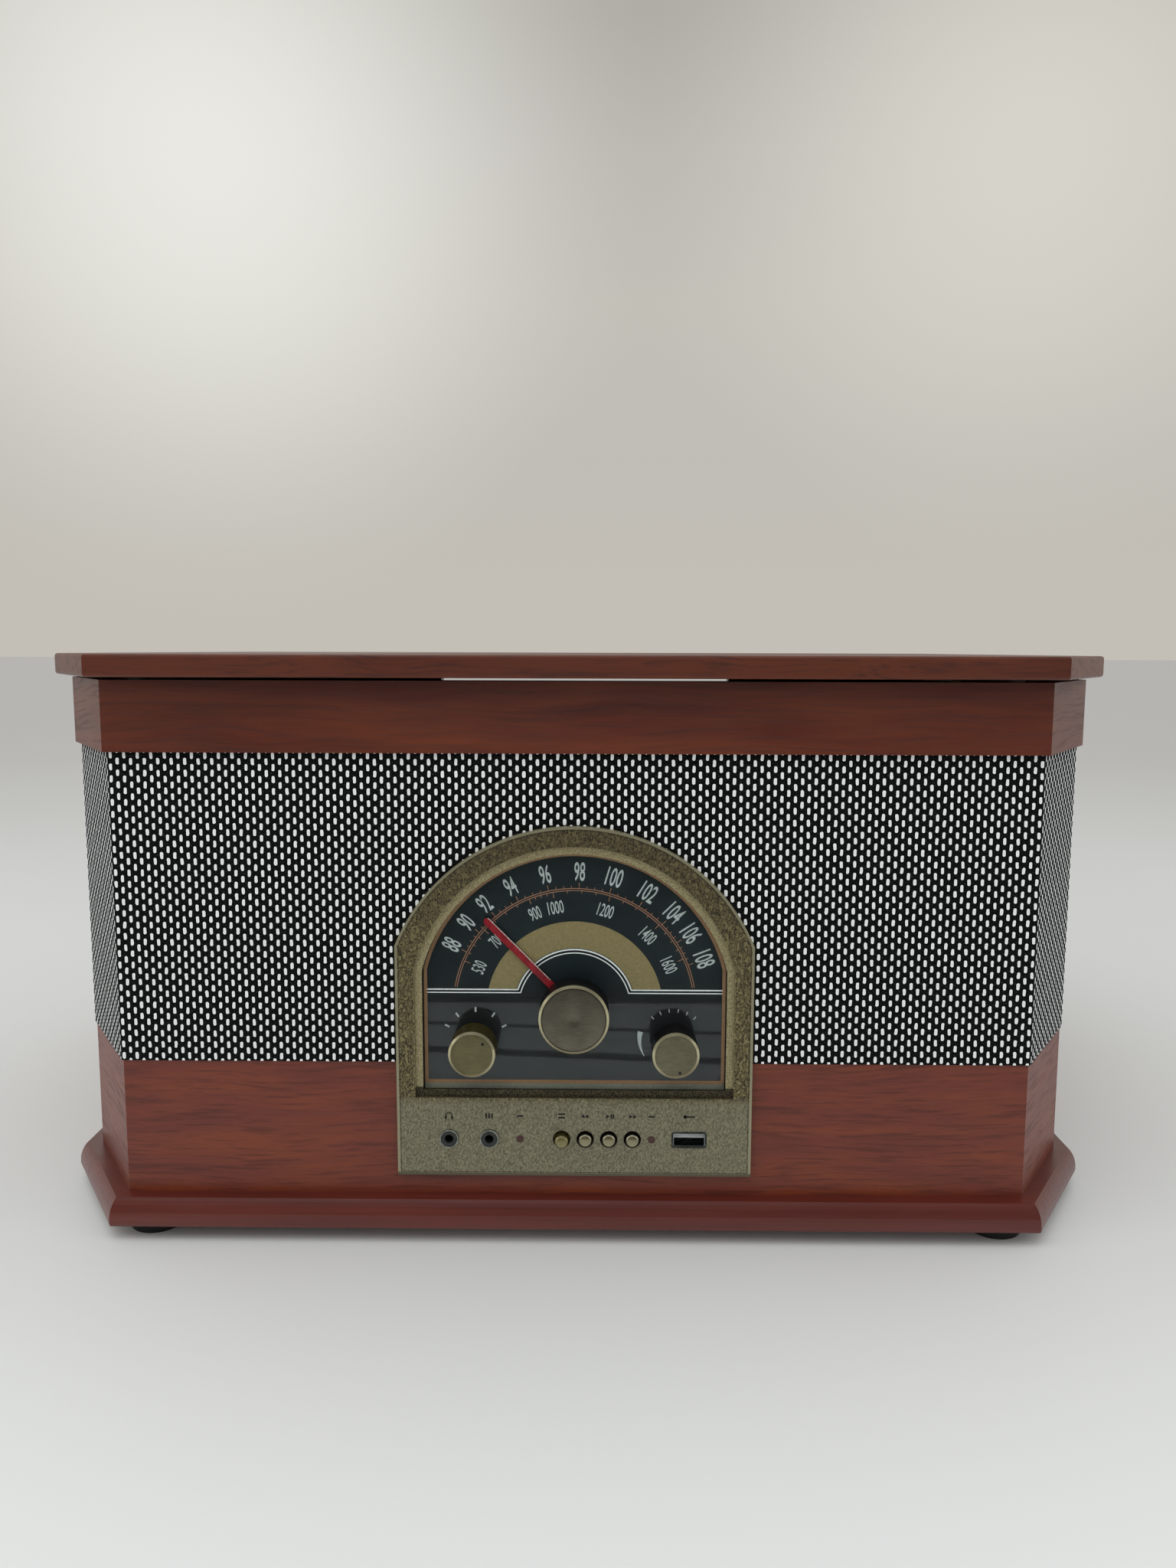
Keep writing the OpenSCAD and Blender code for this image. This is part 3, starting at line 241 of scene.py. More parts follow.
def sheet(middle, size, turn):
    """A starting plane with its middle, its size and its turn."""
    clear()
    bpy.ops.mesh.primitive_plane_add(size=1, location=middle, rotation=turn)
    bpy.context.object.scale = (*size, 1)
    return settle()


clear()
print("nothing is selected")

# %% Picking faces and shaping
def looks(axis, way=0, share=0.9):
    """A test for faces that look along an axis, one way (1 or -1) or both (0)."""
    def wanted(facing):
        return abs(facing[axis]) > share if way == 0 else facing[axis] * way > share
    return wanted


X, Y, Z = 0, 1, 2
FRONT, BACK, UPPER, UNDER = looks(Y, -1), looks(Y, 1), looks(Z, 1), looks(Z, -1)
FRONT_AND_BACK, UPPER_AND_UNDER = looks(Y), looks(Z)


def pick(piece, wanted):
    """Edit mode with only the faces selected that look the wanted way."""
    hold(piece)
    bpy.ops.object.mode_set(mode="EDIT")
    bpy.ops.mesh.select_mode(type="FACE")
    bpy.ops.mesh.select_all(action="DESELECT")
    leave()
    for face in piece.data.polygons:
        face.select = wanted(face.normal)
    bpy.ops.object.mode_set(mode="EDIT")


def edit_all(piece):
    """Edit mode with everything selected."""
    hold(piece)
    bpy.ops.object.mode_set(mode="EDIT")
    bpy.ops.mesh.select_all(action="SELECT")


def outward():
    """In edit mode: merges doubles, turns every face outwards and leaves edit mode."""
    bpy.ops.mesh.select_all(action="SELECT")
    bpy.ops.mesh.remove_doubles(threshold=0.000002)
    bpy.ops.mesh.normals_make_consistent(inside=False)
    leave()


def draw_out(x, y, z):
    """In edit mode: extrudes what is selected by a step."""
    bpy.ops.mesh.extrude_region_move(TRANSFORM_OT_translate={"value": (x, y, z)})


print("faces can be picked and drawn out")

# %% Finishing a piece
def done(piece, name, body, made, smooth=None):
    """Names a piece, gives it its finish, and lets it ride on its body."""
    hold(piece)
    if smooth is not None:
        bpy.ops.object.shade_smooth_by_angle(angle=math.radians(smooth))
    piece.name = piece.data.name = name
    piece.data.materials.clear()
    piece.data.materials.append(made)
    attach(piece, body)
    print("piece:", name, "on", body, "with", len(piece.data.polygons), "faces")
    return piece


print("a finished piece rides on a body of the CAD model")

# %% [markdown]
# ## Floor and light
#
# The player stands on a pale table in soft daylight from above and in front. A wide floor
# takes the shadow under the base. Three large soft lamps and an even sky keep the level
# plain, so that a colour shows about as it is written. The sky is pale for the camera and
# in reflections, and a little weaker as a light. Behind the player it is a hung cloth, dim
# at the top, with a soft pool of lamplight on either side. The floor's colour has painted
# shade far away and painted light close to the camera.

# %% Floor
clear()
bpy.ops.mesh.primitive_grid_add(x_subdivisions=8, y_subdivisions=8, size=60, location=(0, 0, 0))
floor = bpy.context.object
floor.name = "floor"
floor_paint = finish("floor_paint", tone(226, 228, 226), 0.55)
cloud = noise(floor_paint, place(floor_paint), 1.3, 2)
clean = ramp(floor_paint, cloud, (0.3, tone(222, 224, 221)), (0.7, tone(229, 231, 229)))
floor_y = axes(floor_paint, place(floor_paint))[Y]
# Painted shade: the floor is darker far behind the player.
far_painted_shade = mixed(floor_paint, between(floor_paint, floor_y, 0.1, 1.8), clean, tone(211, 210, 207))
# Painted light: the floor is paler close to the camera.
near_painted_light = between(floor_paint, floor_y, -0.18, -0.36)
wire(floor_paint, Base_Color=mixed(floor_paint, near_painted_light, far_painted_shade, tone(240, 242, 241)))
floor.data.materials.append(floor_paint)
print("floor is", round(floor.dimensions.x), "m wide")

# %% The backdrop in the sky
SKY_LIGHT = 0.7
world = bpy.data.worlds.new("studio_sky")
bpy.context.scene.world = world
world.use_nodes = True
sky_way = add(world, "TexCoord").outputs["Generated"]


def light_pool(under, way, reach, bright):
    """A soft patch of light on the backdrop, round one direction."""
    far = add(world, "VectorMath", {0: sky_way, 1: way}, operation="DISTANCE").outputs["Value"]
    share = add(world, "MapRange", {0: far, 1: reach, 2: 0.0}, interpolation_type="SMOOTHSTEP")
    return mixed(world, share.outputs[0], under, bright)


backdrop = ramp(world, axes(world, sky_way)[Z], (0.03, tone(196, 191, 182)),
                (0.16, tone(192, 189, 182)), (0.28, tone(193, 191, 182)),
                (0.38, tone(187, 184, 178)), (0.46, tone(174, 172, 165)))
backdrop = light_pool(backdrop, (-0.293, 0.884, 0.364), 0.36, tone(233, 232, 226))
backdrop = light_pool(backdrop, (0.315, 0.878, 0.361), 0.32, tone(214, 211, 202))
print("backdrop has two pools of light")

# %% Sky as seen and sky as light
light = world.node_tree.nodes["Background"]
light.inputs["Color"].default_value = (1, 1, 1, 1)
light.inputs["Strength"].default_value = SKY_LIGHT
seen = add(world, "Background", {"Color": backdrop, "Strength": 1.0})
ray = add(world, "LightPath").outputs
straight_ray = calc(world, "MAXIMUM", ray["Is Camera Ray"], ray["Is Glossy Ray"])
shown = calc(world, "MAXIMUM", straight_ray, ray["Is Transmission Ray"])
sky = add(world, "MixShader", {0: shown, 1: light.outputs[0], 2: seen.outputs[0]})
world.node_tree.links.new(sky.outputs[0], world.node_tree.nodes["World Output"].inputs["Surface"])
print("sky gives light of strength", SKY_LIGHT)

# %% [markdown]
# An area lamp gives soft shadows, and the larger it is, the softer they are. One stands in
# front and above like a window, and a weak one on either side keeps the cut corners and
# the sides of the knobs from going black. A lamp looks along its own minus Z, so its turn
# is worked out from the way to the middle of the player.

# %% Lamps
def soft_lamp(name, at, size, watts, aim=(0, 0, 0.15)):
    """A square area lamp that looks at the middle of the player."""
    clear()
    bpy.ops.object.light_add(type="AREA", location=at)
    lamp = bpy.context.object
    lamp.name = name
    lamp.data.size = size
    lamp.data.energy = watts
    run = [b - a for a, b in zip(at, aim)]
    flat = math.hypot(run[0], run[1])
    lamp.rotation_euler = (math.atan2(flat, -run[2]), 0, math.atan2(-run[0], run[1]))
    print("lamp:", name, watts, "W")


soft_lamp("lamp_above", (-0.3, -0.9, 1.6), 1.4, 8)
soft_lamp("lamp_right", (1.6, -0.2, 0.9), 1.0, 3)
soft_lamp("lamp_left", (-1.6, -0.3, 0.9), 1.0, 3)
bpy.context.scene.view_settings.view_transform = "Standard"

# %% [markdown]
# Whoever takes a picture stands in front of the thing and is dark. Glass and lacquer that
# face the viewer show that darkness, while the cut corners look to the sides and pick up
# the pale room. A dark card in front gives the same effect. Only reflections see it.
#
# In the photograph the lower half of the window shows the table, with two dark streaks
# across. Two strips on the floor in front of the player throw the same streaks. Where they
# lie follows from mirroring the line of sight in the window.

# %% A clouded colour
def clouded(made, pattern, dark, bright, wear=None, least=0.0, low=0.3):
    """Colour from dark to bright after a pattern, and roughness that grows with it."""
    wire(made, Base_Color=ramp(made, pattern, (low, dark), (0.7, bright)))
    if wear:
        wire(made, Roughness=scaled(made, pattern, wear, least))
    return made


card_cloth = finish("card_cloth", tone(34, 34, 34), 0.9)
fold_light = noise(card_cloth, place(card_cloth, (4, 4, 1)), 1.0, 2)
clouded(card_cloth, fold_light, tone(24, 25, 26), tone(52, 52, 50))
print("card cloth is nearly black")

# %% Dark card in front and two dark strips
def dark_sheet(name, middle, size, turn):
    """A dark sheet of the stage that only mirrors see."""
    card = sheet(middle, size, turn)
    card.name = name
    card.data.materials.append(card_cloth)
    for kind in ("camera", "diffuse", "transmission", "shadow"):
        setattr(card, "visible_" + kind, False)
    print("stage:", name, "at y", middle[1])


dark_sheet("dark_card", (0, -0.467, 0.5), (1.5, 1.0), (math.radians(90), 0, 0))
dark_sheet("strip_near", (0, -0.364, 0.0008), (0.7, 0.011), (0, 0, math.radians(5.8)))
dark_sheet("strip_far", (0, -0.413, 0.0008), (0.7, 0.006), (0, 0, math.radians(5.3)))

# %% [markdown]
# ## Wood
#
# The cabinet is board covered with a stained veneer. Seen close, three things make it
# wood: broad bands where the stain took more or less, fine dark pores that run along the
# board, and a low satin shine broken by the pores. Each is noise stretched along the
# grain. The places are read on the object itself, so the grain runs on round a corner,
# and a second, slow noise bends it so that no line is straight.

# %% Steps between places, and relief
def vector(made, operation, first, second):
    """The result of one step of arithmetic on two places."""
    return add(made, "VectorMath", {0: first, 1: second}, operation=operation).outputs[0]


def bump(made, height, strength, depth):
    """A surface direction that shows a height; depth is in metres."""
    return add(made, "Bump", {"Height": height, "Strength": strength,
                              "Distance": depth}).outputs[0]


print("a pattern can be bent and can stand out")

# %% A stained veneer
def veneer(name, dark, middle, light, line_run, line_gap, bend, shine, depth=0.7, flames=0.2,
           flat=False):
    """Wood with its grain along X and Y, or along X alone on a flat board.

    line_run is the usual length of a line and line_gap the step between two lines, bend
    how far they wander, depth how dark they are, and flames how much the dark flames show.
    """
    made = finish(name, middle, shine, coat=0.15)
    slow = noise(made, place(made, (6, 6, 18)), 1.0, 2)
    lean = scaled(made, calc(made, "SUBTRACT", slow, 0.5), bend)
    shift = add(made, "CombineXYZ", {0: 0.0, 1: lean if flat else 0.0, 2: lean}).outputs[0]
    bent = vector(made, "ADD", place(made), shift)

    def grain(run, step, detail):
        """Noise in lines; run and step are how much finer it is than the usual lines."""
        along, across = run / line_run, step / line_gap
        scale = (along, across if flat else along, across)
        stretched = add(made, "Mapping", {0: bent, 3: scale}).outputs[0]
        return noise(made, stretched, 1.0, detail, 0.6)

    body = ramp(made, grain(0.3, 0.12, 3), (0.34, middle), (0.66, light))
    flame = between(made, grain(0.35, 0.22, 4), 0.52, 0.66)
    line = between(made, grain(1, 1, 3), 0.5, 0.64)
    fibre = grain(2.5, 5, 3)
    pore = between(made, grain(3.5, 3, 1), 0.58, 0.7)
    dark_line = calc(made, "MAXIMUM", line, scaled(made, pore, 0.55))
    flamed = mixed(made, scaled(made, flame, flames), body, dark)
    lined = mixed(made, scaled(made, dark_line, depth), flamed, dark)
    tint = mixed(made, scaled(made, between(made, fibre, 0.3, 0.7), 0.3), lined, light)
    rub = between(made, noise(made, place(made, (9, 9, 9)), 1.0, 3), 0.3, 0.8)
    matt = scaled(made, rub, 0.1, shine - 0.04)
    relief = calc(made, "SUBTRACT", scaled(made, fibre, 0.4), dark_line)
    return wire(made, Base_Color=tint, Roughness=scaled(made, dark_line, 0.12, matt),
                Normal=bump(made, relief, 0.2, 0.00012))


print("a veneer has three tones, and lines with a length and a gap")

# %% The cabinet's boards
cabinet_veneer = veneer("cabinet_veneer", tone(70, 26, 19), tone(104, 39, 30),
                        tone(124, 53, 23), 24 * MM, 1.35 * MM, 0.016, 0.47, 0.6)
dress(cabinet_veneer, "front_board", "corner_boards", "side_boards")

# %% [markdown]
# The rail under the lid shows a livelier cut, with dark flames in a warmer red. The same
# veneer is used with a stronger bend, and then the upper part is darkened by height with
# painted shade, as the lid keeps the light off it.

# %% The rail
SHADE_FROM, SHADE_TO = 206 * MM, 229 * MM
rail_veneer = veneer("rail_veneer", tone(56, 20, 11), tone(88, 27, 14), tone(114, 48, 12),
                     40 * MM, 1.6 * MM, 0.03, 0.46, 0.4, 0.45)
rail_z = axes(rail_veneer, place(rail_veneer))[Z]
# Painted shade: the top of the rail grows darker under the lid.
shade = scaled(rail_veneer, between(rail_veneer, rail_z, SHADE_FROM, SHADE_TO), 0.35)
rail_tone = main_shader(rail_veneer).inputs["Base Color"].links[0].from_socket
wire(rail_veneer, Base_Color=mixed(rail_veneer, shade, rail_tone, tone(58, 24, 18)))
dress(rail_veneer, "rail_front", "side_rails", "rail_rear")

# %% [markdown]
# The lid has a veneer of its own, with long faint lines along the board on its top and its
# edges alike. The moulded base is smoother: its stain is dense, and only a faint grain
# shows through a satin lacquer. The battens that carry the deck are out of sight and are
# left as bare wood.

# %% Lid, base moulding and battens
lid_veneer = veneer("lid_veneer", tone(56, 21, 11), tone(90, 37, 19), tone(104, 46, 21),
                    60 * MM, 1.9 * MM, 0.05, 0.44, 0.6, 0.4, flat=True)
dress(lid_veneer, "lid_panel")

DENSE_STAIN, WARM_STAIN, SATIN = tone(88, 34, 26), tone(105, 43, 33), 0.34
base_lacquer = finish("base_lacquer", WARM_STAIN, SATIN, coat=0.15)
faint_grain = noise(base_lacquer, place(base_lacquer, (10, 60, 260)), 1.0, 5, 0.6)
patch = between(base_lacquer, noise(base_lacquer, place(base_lacquer, (6, 6, 6)), 1.0, 2),
                0.45, 0.75)
stain = ramp(base_lacquer, faint_grain, (0.3, DENSE_STAIN), (0.7, WARM_STAIN))
marks = between(base_lacquer, noise(base_lacquer, place(base_lacquer, (40, 400, 400)), 1.0, 3),
                0.55, 0.8)
wire(base_lacquer, Base_Color=mixed(base_lacquer, patch, stain, DENSE_STAIN),
     Roughness=scaled(base_lacquer, marks, 0.12, SATIN),
     Normal=bump(base_lacquer, faint_grain, 0.05, 0.0002))
dress(base_lacquer, "base_board")
dress(veneer("bare_wood", tone(150, 112, 70), tone(184, 146, 98), tone(204, 170, 122),
             40 * MM, 4 * MM, 0.03, 0.75, 0.4), "deck_battens")

# %% [markdown]
# ## The grille cloth
#
# The loudspeakers are behind an open cloth: a black net with short white slubs standing in
# every mesh, each column set half a step lower than the last. It is one strip, pulled
# tight round the cut corners, so it is modelled as a strip that follows the boards, folded
# once at each edge. The pattern has to follow the strip and not the room, so each corner
# of the mesh gets a UV place in metres: how far along the strip, and how high.

# %% Where the cloth runs
CLOTH_OUT = 0.5 * MM
CHAMFER = 49 * MM
FRONT_HALF, SIDE_HALF = 185.5 * MM, 218 * MM
front_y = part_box("front_board")[0][Y]
strip_low, strip_high = (corner[Z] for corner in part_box("grille_cloth"))
slope = math.hypot(CHAMFER, SIDE_HALF - FRONT_HALF)
lean_x, lean_y = CHAMFER / slope, (SIDE_HALF - FRONT_HALF) / slope
near = (FRONT_HALF + CLOTH_OUT * (1 - lean_y) / lean_x, front_y - CLOTH_OUT)
far = (SIDE_HALF + CLOTH_OUT, front_y + CHAMFER - CLOTH_OUT * (1 - lean_x) / lean_y)
print("cloth corners at", [round(c / MM, 1) for c in near + far])

# %% Fold the strip round the corners
cloth = sheet((0, near[1], (strip_low + strip_high) / 2),
              (2 * near[0], strip_high - strip_low), (math.radians(90), 0, 0))
for side in (-1, 1):
    hold(cloth)
    bpy.ops.object.mode_set(mode="EDIT")
    bpy.ops.mesh.select_mode(type="EDGE")
    bpy.ops.mesh.select_all(action="DESELECT")
    leave()
    for edge in cloth.data.edges:
        ends = [cloth.data.vertices[i].co.x * side for i in edge.vertices]
        edge.select = min(ends) > near[0] - 0.0001
    bpy.ops.object.mode_set(mode="EDIT")
    draw_out(side * (far[0] - near[0]), far[1] - near[1], 0)
    leave()
print("strip has", len(cloth.data.polygons), "panels")

# %% [markdown]
# The control panel's housing passes through the cloth, so the strip is cut to an arch. The
# arch is drawn as a solid plug a little smaller than the panel's face, and taken away from
# the strip while it is still a plain sheet with some thickness.

# %% A solid arch
def disc(middle, radius, depth, along="Y", sides=48):
    """A starting cylinder along Y or Z, with its middle, radius and depth in metres."""
    clear()
    turn = (math.radians(90), 0, 0) if along == "Y" else (0, 0, 0)
    bpy.ops.mesh.primitive_cylinder_add(vertices=sides, radius=radius, depth=depth,
                                        location=middle, rotation=turn)
    return settle()


def cut_off(at, way):
    """In edit mode: cuts off all that lies past a plane, and closes the cut."""
    bpy.ops.mesh.select_all(action="SELECT")
    bpy.ops.mesh.bisect(plane_co=at, plane_no=way, clear_outer=True, use_fill=True)


def arch_block(middle_y, deep, half, radius, arch_z, foot_z, sides):
    """A solid arch: half a disc with straight legs, trimmed at the sides."""
    arch = disc((0, middle_y, arch_z), radius, deep, sides=sides)
    edit_all(arch)
    cut_off((0, 0, arch_z), (0, 0, -1))
    pick(arch, UNDER)
    draw_out(0, 0, foot_z - arch_z)
    for side in (-1, 1):
        cut_off((side * half, 0, 0), (side, 0, 0))
    outward()
    return arch


PANEL_HALF, PANEL_R, PANEL_ARCH_Z, PANEL_LOW = 72.5 * MM, 78.3 * MM, 94 * MM, 27 * MM
PLUG_IN = 3.5 * MM
plug = arch_block(front_y, 12 * MM, PANEL_HALF - PLUG_IN, PANEL_R - PLUG_IN, PANEL_ARCH_Z,
                  PANEL_ARCH_Z - 60 * MM, 96)
print("plug has", len(plug.data.polygons), "faces")

# %% Cut the arch
def carve(piece, tool):
    """Cuts the shape of a tool out of a piece, and removes the tool."""
    hold(piece)
    hole = piece.modifiers.new("hole", "BOOLEAN")
    hole.object = tool
    hole.operation = "DIFFERENCE"
    hole.solver = "EXACT"
    bpy.ops.object.modifier_apply(modifier="hole")
    bpy.data.objects.remove(tool)


hold(cloth)
thick = cloth.modifiers.new("thickness", "SOLIDIFY")
thick.thickness = 0.5 * MM
thick.offset = 0
bpy.ops.object.modifier_apply(modifier="thickness")
edit_all(cloth)
outward()
carve(cloth, plug)
print("cloth cut to", len(cloth.data.polygons), "faces")

# %% Measure along the strip
def along_strip(place_x, place_y):
    """Distance along the strip from the middle of the front, in metres."""
    if abs(place_x) <= near[0] + 0.00005:
        return place_x
    rest = math.hypot(abs(place_x) - near[0], place_y - near[1])
    return math.copysign(near[0] + rest, place_x)


layers = cloth.data.uv_layers
strip_map = layers[0] if layers else layers.new(name="strip")
for loop in cloth.data.loops:
    spot = cloth.data.vertices[loop.vertex_index].co
    strip_map.data[loop.index].uv = (along_strip(spot.x, spot.y), spot.z)

# %% [markdown]
# The weave itself is worked out from the UV place. Columns are 2.7 mm apart and slubs
# repeat every 4.76 mm in height. Inside each cell the distance to a short upright line
# gives a slub with round ends, a black ring where the net grips it, and the dark net
# between. A slow noise bends the slubs a little, as hand and loom always do.

# %% The cells of the weave
def distance(made, first, second):
    """How long a way is that goes first along one axis and second along another."""
    return calc(made, "SQRT", calc(made, "ADD", calc(made, "POWER", first, 2.0),
                                   calc(made, "POWER", second, 2.0)))


weave = finish("open_weave", tone(34, 38, 38), 0.85)
COLUMN, STEP = 2.7 * MM, 4.76 * MM
WANDER = (0.55 * MM, 0.6 * MM, 0)
flat_uv = add(weave, "UVMap", uv_map=strip_map.name).outputs[0]
wander = add(weave, "TexNoise", {"Vector": flat_uv, "Scale": 330.0, "Detail": 1.0})
push = vector(weave, "SUBTRACT", wander.outputs["Color"], (0.5, 0.5, 0.5))
bent_uv = vector(weave, "ADD", flat_uv, vector(weave, "MULTIPLY", push, WANDER))
across, upward, _ = axes(weave, bent_uv)
column = calc(weave, "DIVIDE", across, COLUMN)
whole = calc(weave, "ABSOLUTE", calc(weave, "FLOOR", column))
half_step = scaled(weave, calc(weave, "MODULO", whole, 2.0), 0.5)
row = calc(weave, "ADD", calc(weave, "DIVIDE", upward, STEP), half_step)


def from_middle(count, size):
    """How far a place is from the middle of its cell, in metres."""
    part = calc(weave, "FRACT", count)
    return scaled(weave, calc(weave, "SUBTRACT", part, 0.5), size)


print("a cell is", COLUMN / MM, "x", STEP / MM, "mm")

# %% Slubs, rings and net
SLUB_HALF = 0.76 * MM
beyond = calc(weave, "SUBTRACT", calc(weave, "ABSOLUTE", from_middle(row, STEP)), SLUB_HALF)
away = distance(weave, from_middle(column, COLUMN), calc(weave, "MAXIMUM", beyond, 0.0))
slub = between(weave, away, 0.69 * MM, 0.54 * MM)
grip = between(weave, away, 1.2 * MM, 0.95 * MM)
net_thread = noise(weave, flat_uv, 1500.0, 2)
net = ramp(weave, net_thread, (0.42, tone(6, 8, 8)), (0.62, tone(18, 21, 20)),
           (0.8, tone(70, 74, 72)))
slub_tone = ramp(weave, calc(weave, "DIVIDE", away, 0.7 * MM), (0.0, tone(222, 228, 228)),
                 (0.8, tone(250, 252, 251)))
woven = mixed(weave, slub, mixed(weave, grip, net, tone(3, 4, 4)), slub_tone)
lift = calc(weave, "SUBTRACT", slub, scaled(weave, grip, 0.35))
fuzz = scaled(weave, net_thread, 0.15, lift)
wire(weave, Base_Color=woven, Normal=bump(weave, fuzz, 0.6, 0.0004))
yarn = main_shader(weave)
yarn.inputs["Sheen Weight"].default_value = 0.02
yarn.inputs["Specular IOR Level"].default_value = 0.12
done(cloth, "grille_cloth_strip", "cabinet", weave)
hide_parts("grille_cloth")

# %% [markdown]
# ## The control panel's face
#
# The arch is moulded in plastic with a leathery wrinkle and plated a dull bronze. Three
# zones show: the wrinkled face, with its creases painted dark as painted shade and its top
# darkened with painted shade; a smooth bright line along the outer edge, which is a painted
# highlight, dimmer along the foot, with a dark line of painted shade just inside it; and a
# granular paler slope down to the window. The zones are found from distances to the two
# arches, which the shader works out from the place.

# %% Distances to the arches
def inside_arch(made, half, radius, arch_z, low):
    """How far a place is inside an arch with straight sides and foot, in metres."""
    x, _, z = axes(made, place(made))
    beside = calc(made, "SUBTRACT", half, calc(made, "ABSOLUTE", x))
    rise = calc(made, "MAXIMUM", calc(made, "SUBTRACT", z, arch_z), 0.0)
    under = calc(made, "SUBTRACT", radius, distance(made, x, rise))
    return calc(made, "MINIMUM", calc(made, "MINIMUM", beside, under),
                calc(made, "SUBTRACT", z, low))


WINDOW_HALF, WINDOW_R, WINDOW_Z, WINDOW_LOW = 61.8 * MM, 63.7 * MM, 97.3 * MM, 63.2 * MM
bronze = finish("wrinkled_bronze", tone(120, 115, 86), 0.42, metallic=0.4)
from_edge = inside_arch(bronze, PANEL_HALF, PANEL_R, PANEL_ARCH_Z, PANEL_LOW)
from_window = inside_arch(bronze, WINDOW_HALF, WINDOW_R, WINDOW_Z, WINDOW_LOW)
spot_on = place(bronze)
height = axes(bronze, spot_on)[Z]
print("panel is", round(2 * PANEL_HALF / MM), "mm wide")

# %% Wrinkles that fold the face
swirl = add(bronze, "TexNoise", {"Vector": spot_on, "Scale": 420.0, "Detail": 2.0})
swirl = vector(bronze, "MULTIPLY", swirl.outputs["Color"], (0.0016, 0.0016, 0.0016))
creased = add(bronze, "Mapping", {0: vector(bronze, "ADD", spot_on, swirl), 2: (0, 0.75, 0),
                                  3: (1.0, 1.0, 0.62)}).outputs[0]
fold = noise(bronze, creased, 850.0, 2, 0.45)
fold_side = calc(bronze, "ABSOLUTE", calc(bronze, "SUBTRACT", fold, 0.5))
crease = between(bronze, fold_side, 0.075, 0.0)
ridge_tone = ramp(bronze, fold, (0.35, tone(114, 104, 71)), (0.65, tone(138, 128, 88)))
# Painted shade: the top of the face is darker.
top_painted_shade = scaled(bronze, between(bronze, height, 110 * MM, 160 * MM), 0.45)
ridge_tone = mixed(bronze, top_painted_shade, ridge_tone, tone(72, 62, 44))
# The creases are painted nearly black: painted shade in the folds of the wrinkle.
bronze_tone = mixed(bronze, scaled(bronze, crease, 0.95), ridge_tone, tone(14, 10, 6))
print("the face is wrinkled")

# %% Slope, lower strip and painted edge highlight
gritty = noise(bronze, spot_on, 2600.0, 2)
slope_tone = ramp(bronze, gritty, (0.36, tone(132, 122, 88)), (0.62, tone(186, 176, 136)))
rough_sill = ramp(bronze, gritty, (0.4, tone(24, 20, 12)), (0.62, tone(92, 84, 58)))
sill = between(bronze, height, 64.6 * MM, 64.0 * MM)
slope_tone = mixed(bronze, sill, slope_tone, rough_sill)
sand = noise(bronze, creased, 1500.0, 2)
strip_tone = ramp(bronze, sand, (0.36, tone(102, 98, 78)), (0.64, tone(144, 139, 115)))
lower_strip = between(bronze, height, 61 * MM, 57 * MM)
bronze_tone = mixed(bronze, lower_strip, bronze_tone, strip_tone)
slope_zone = between(bronze, from_window, -3.3 * MM, -2.8 * MM)
bronze_tone = mixed(bronze, slope_zone, bronze_tone, slope_tone)
# Painted shade: a dark line just inside the bright edge, as in a groove.
groove_shade = calc(bronze, "MULTIPLY", between(bronze, from_edge, 1.1 * MM, 1.3 * MM),
              between(bronze, from_edge, 1.75 * MM, 1.5 * MM))
bronze_tone = mixed(bronze, scaled(bronze, groove_shade, 0.6), bronze_tone, tone(40, 36, 26))
# Painted highlight: a bright line along the outer edge, with painted shade along the foot of the
# arch.
edge_painted_highlight = between(bronze, from_edge, 1.1 * MM, 0.9 * MM)
edge_highlight_colour = mixed(bronze, between(bronze, height, 28.4 * MM, 28.1 * MM),
                    tone(150, 145, 118), tone(92, 86, 66))
bronze_tone = mixed(bronze, edge_painted_highlight, bronze_tone, edge_highlight_colour)
folds_show = calc(bronze, "SUBTRACT", 1.0, calc(bronze, "MAXIMUM", edge_painted_highlight, lower_strip))
dip = scaled(bronze, calc(bronze, "MULTIPLY", crease, folds_show), -1.0)
wire(bronze, Base_Color=bronze_tone, Roughness=scaled(bronze, edge_painted_highlight, -0.16, 0.48),
     Normal=bump(bronze, scaled(bronze, sand, 0.25, dip), 0.6, 0.0003))
dress(bronze, "bezel")

# %% [markdown]
# ## The dial
#
# Behind the window is a dark blue-black plate with a printed scale. Print is ink with a
# hair's thickness, so the numbers, ticks, lines and the beige sector are modelled as thin
# shapes on the plate. They are made about the tuning shaft, because everything on the
# scale is drawn round it.

# %% The plate
DIAL_Z = 96.6 * MM
_, PRINT_Y, PLATE_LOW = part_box("dial_plate")[0]
plate_ink = finish("dial_ink", tone(24, 38, 44), 0.35, coat=1.0)
main_shader(plate_ink).inputs["Coat Roughness"].default_value = 0.03
plate_z = axes(plate_ink, place(plate_ink))[Z]
mist = noise(plate_ink, place(plate_ink), 40.0, 3)


def misty(dark, bright):
    """A colour of the plate that varies like mist."""
    return ramp(plate_ink, mist, (0.3, dark), (0.7, bright))


upper_tone = misty(tone(14, 26, 31), tone(25, 38, 43))
# The lower plate grows paler and greyer towards its foot: a painted reflection of the table over
# the plate's own dark tone.
lower_tone_and_reflection = mixed(plate_ink, between(plate_ink, plate_z, 80 * MM, 42 * MM),
                   misty(tone(16, 18, 20), tone(29, 31, 33)),
                   misty(tone(36, 38, 39), tone(45, 47, 48)))
plate_tone = mixed(plate_ink, between(plate_ink, plate_z, 100 * MM, 108 * MM), lower_tone_and_reflection,
                   upper_tone)
wire(plate_ink, Base_Color=plate_tone, Roughness=scaled(plate_ink, mist, 0.2, 0.4))
dress(plate_ink, "dial_plate")

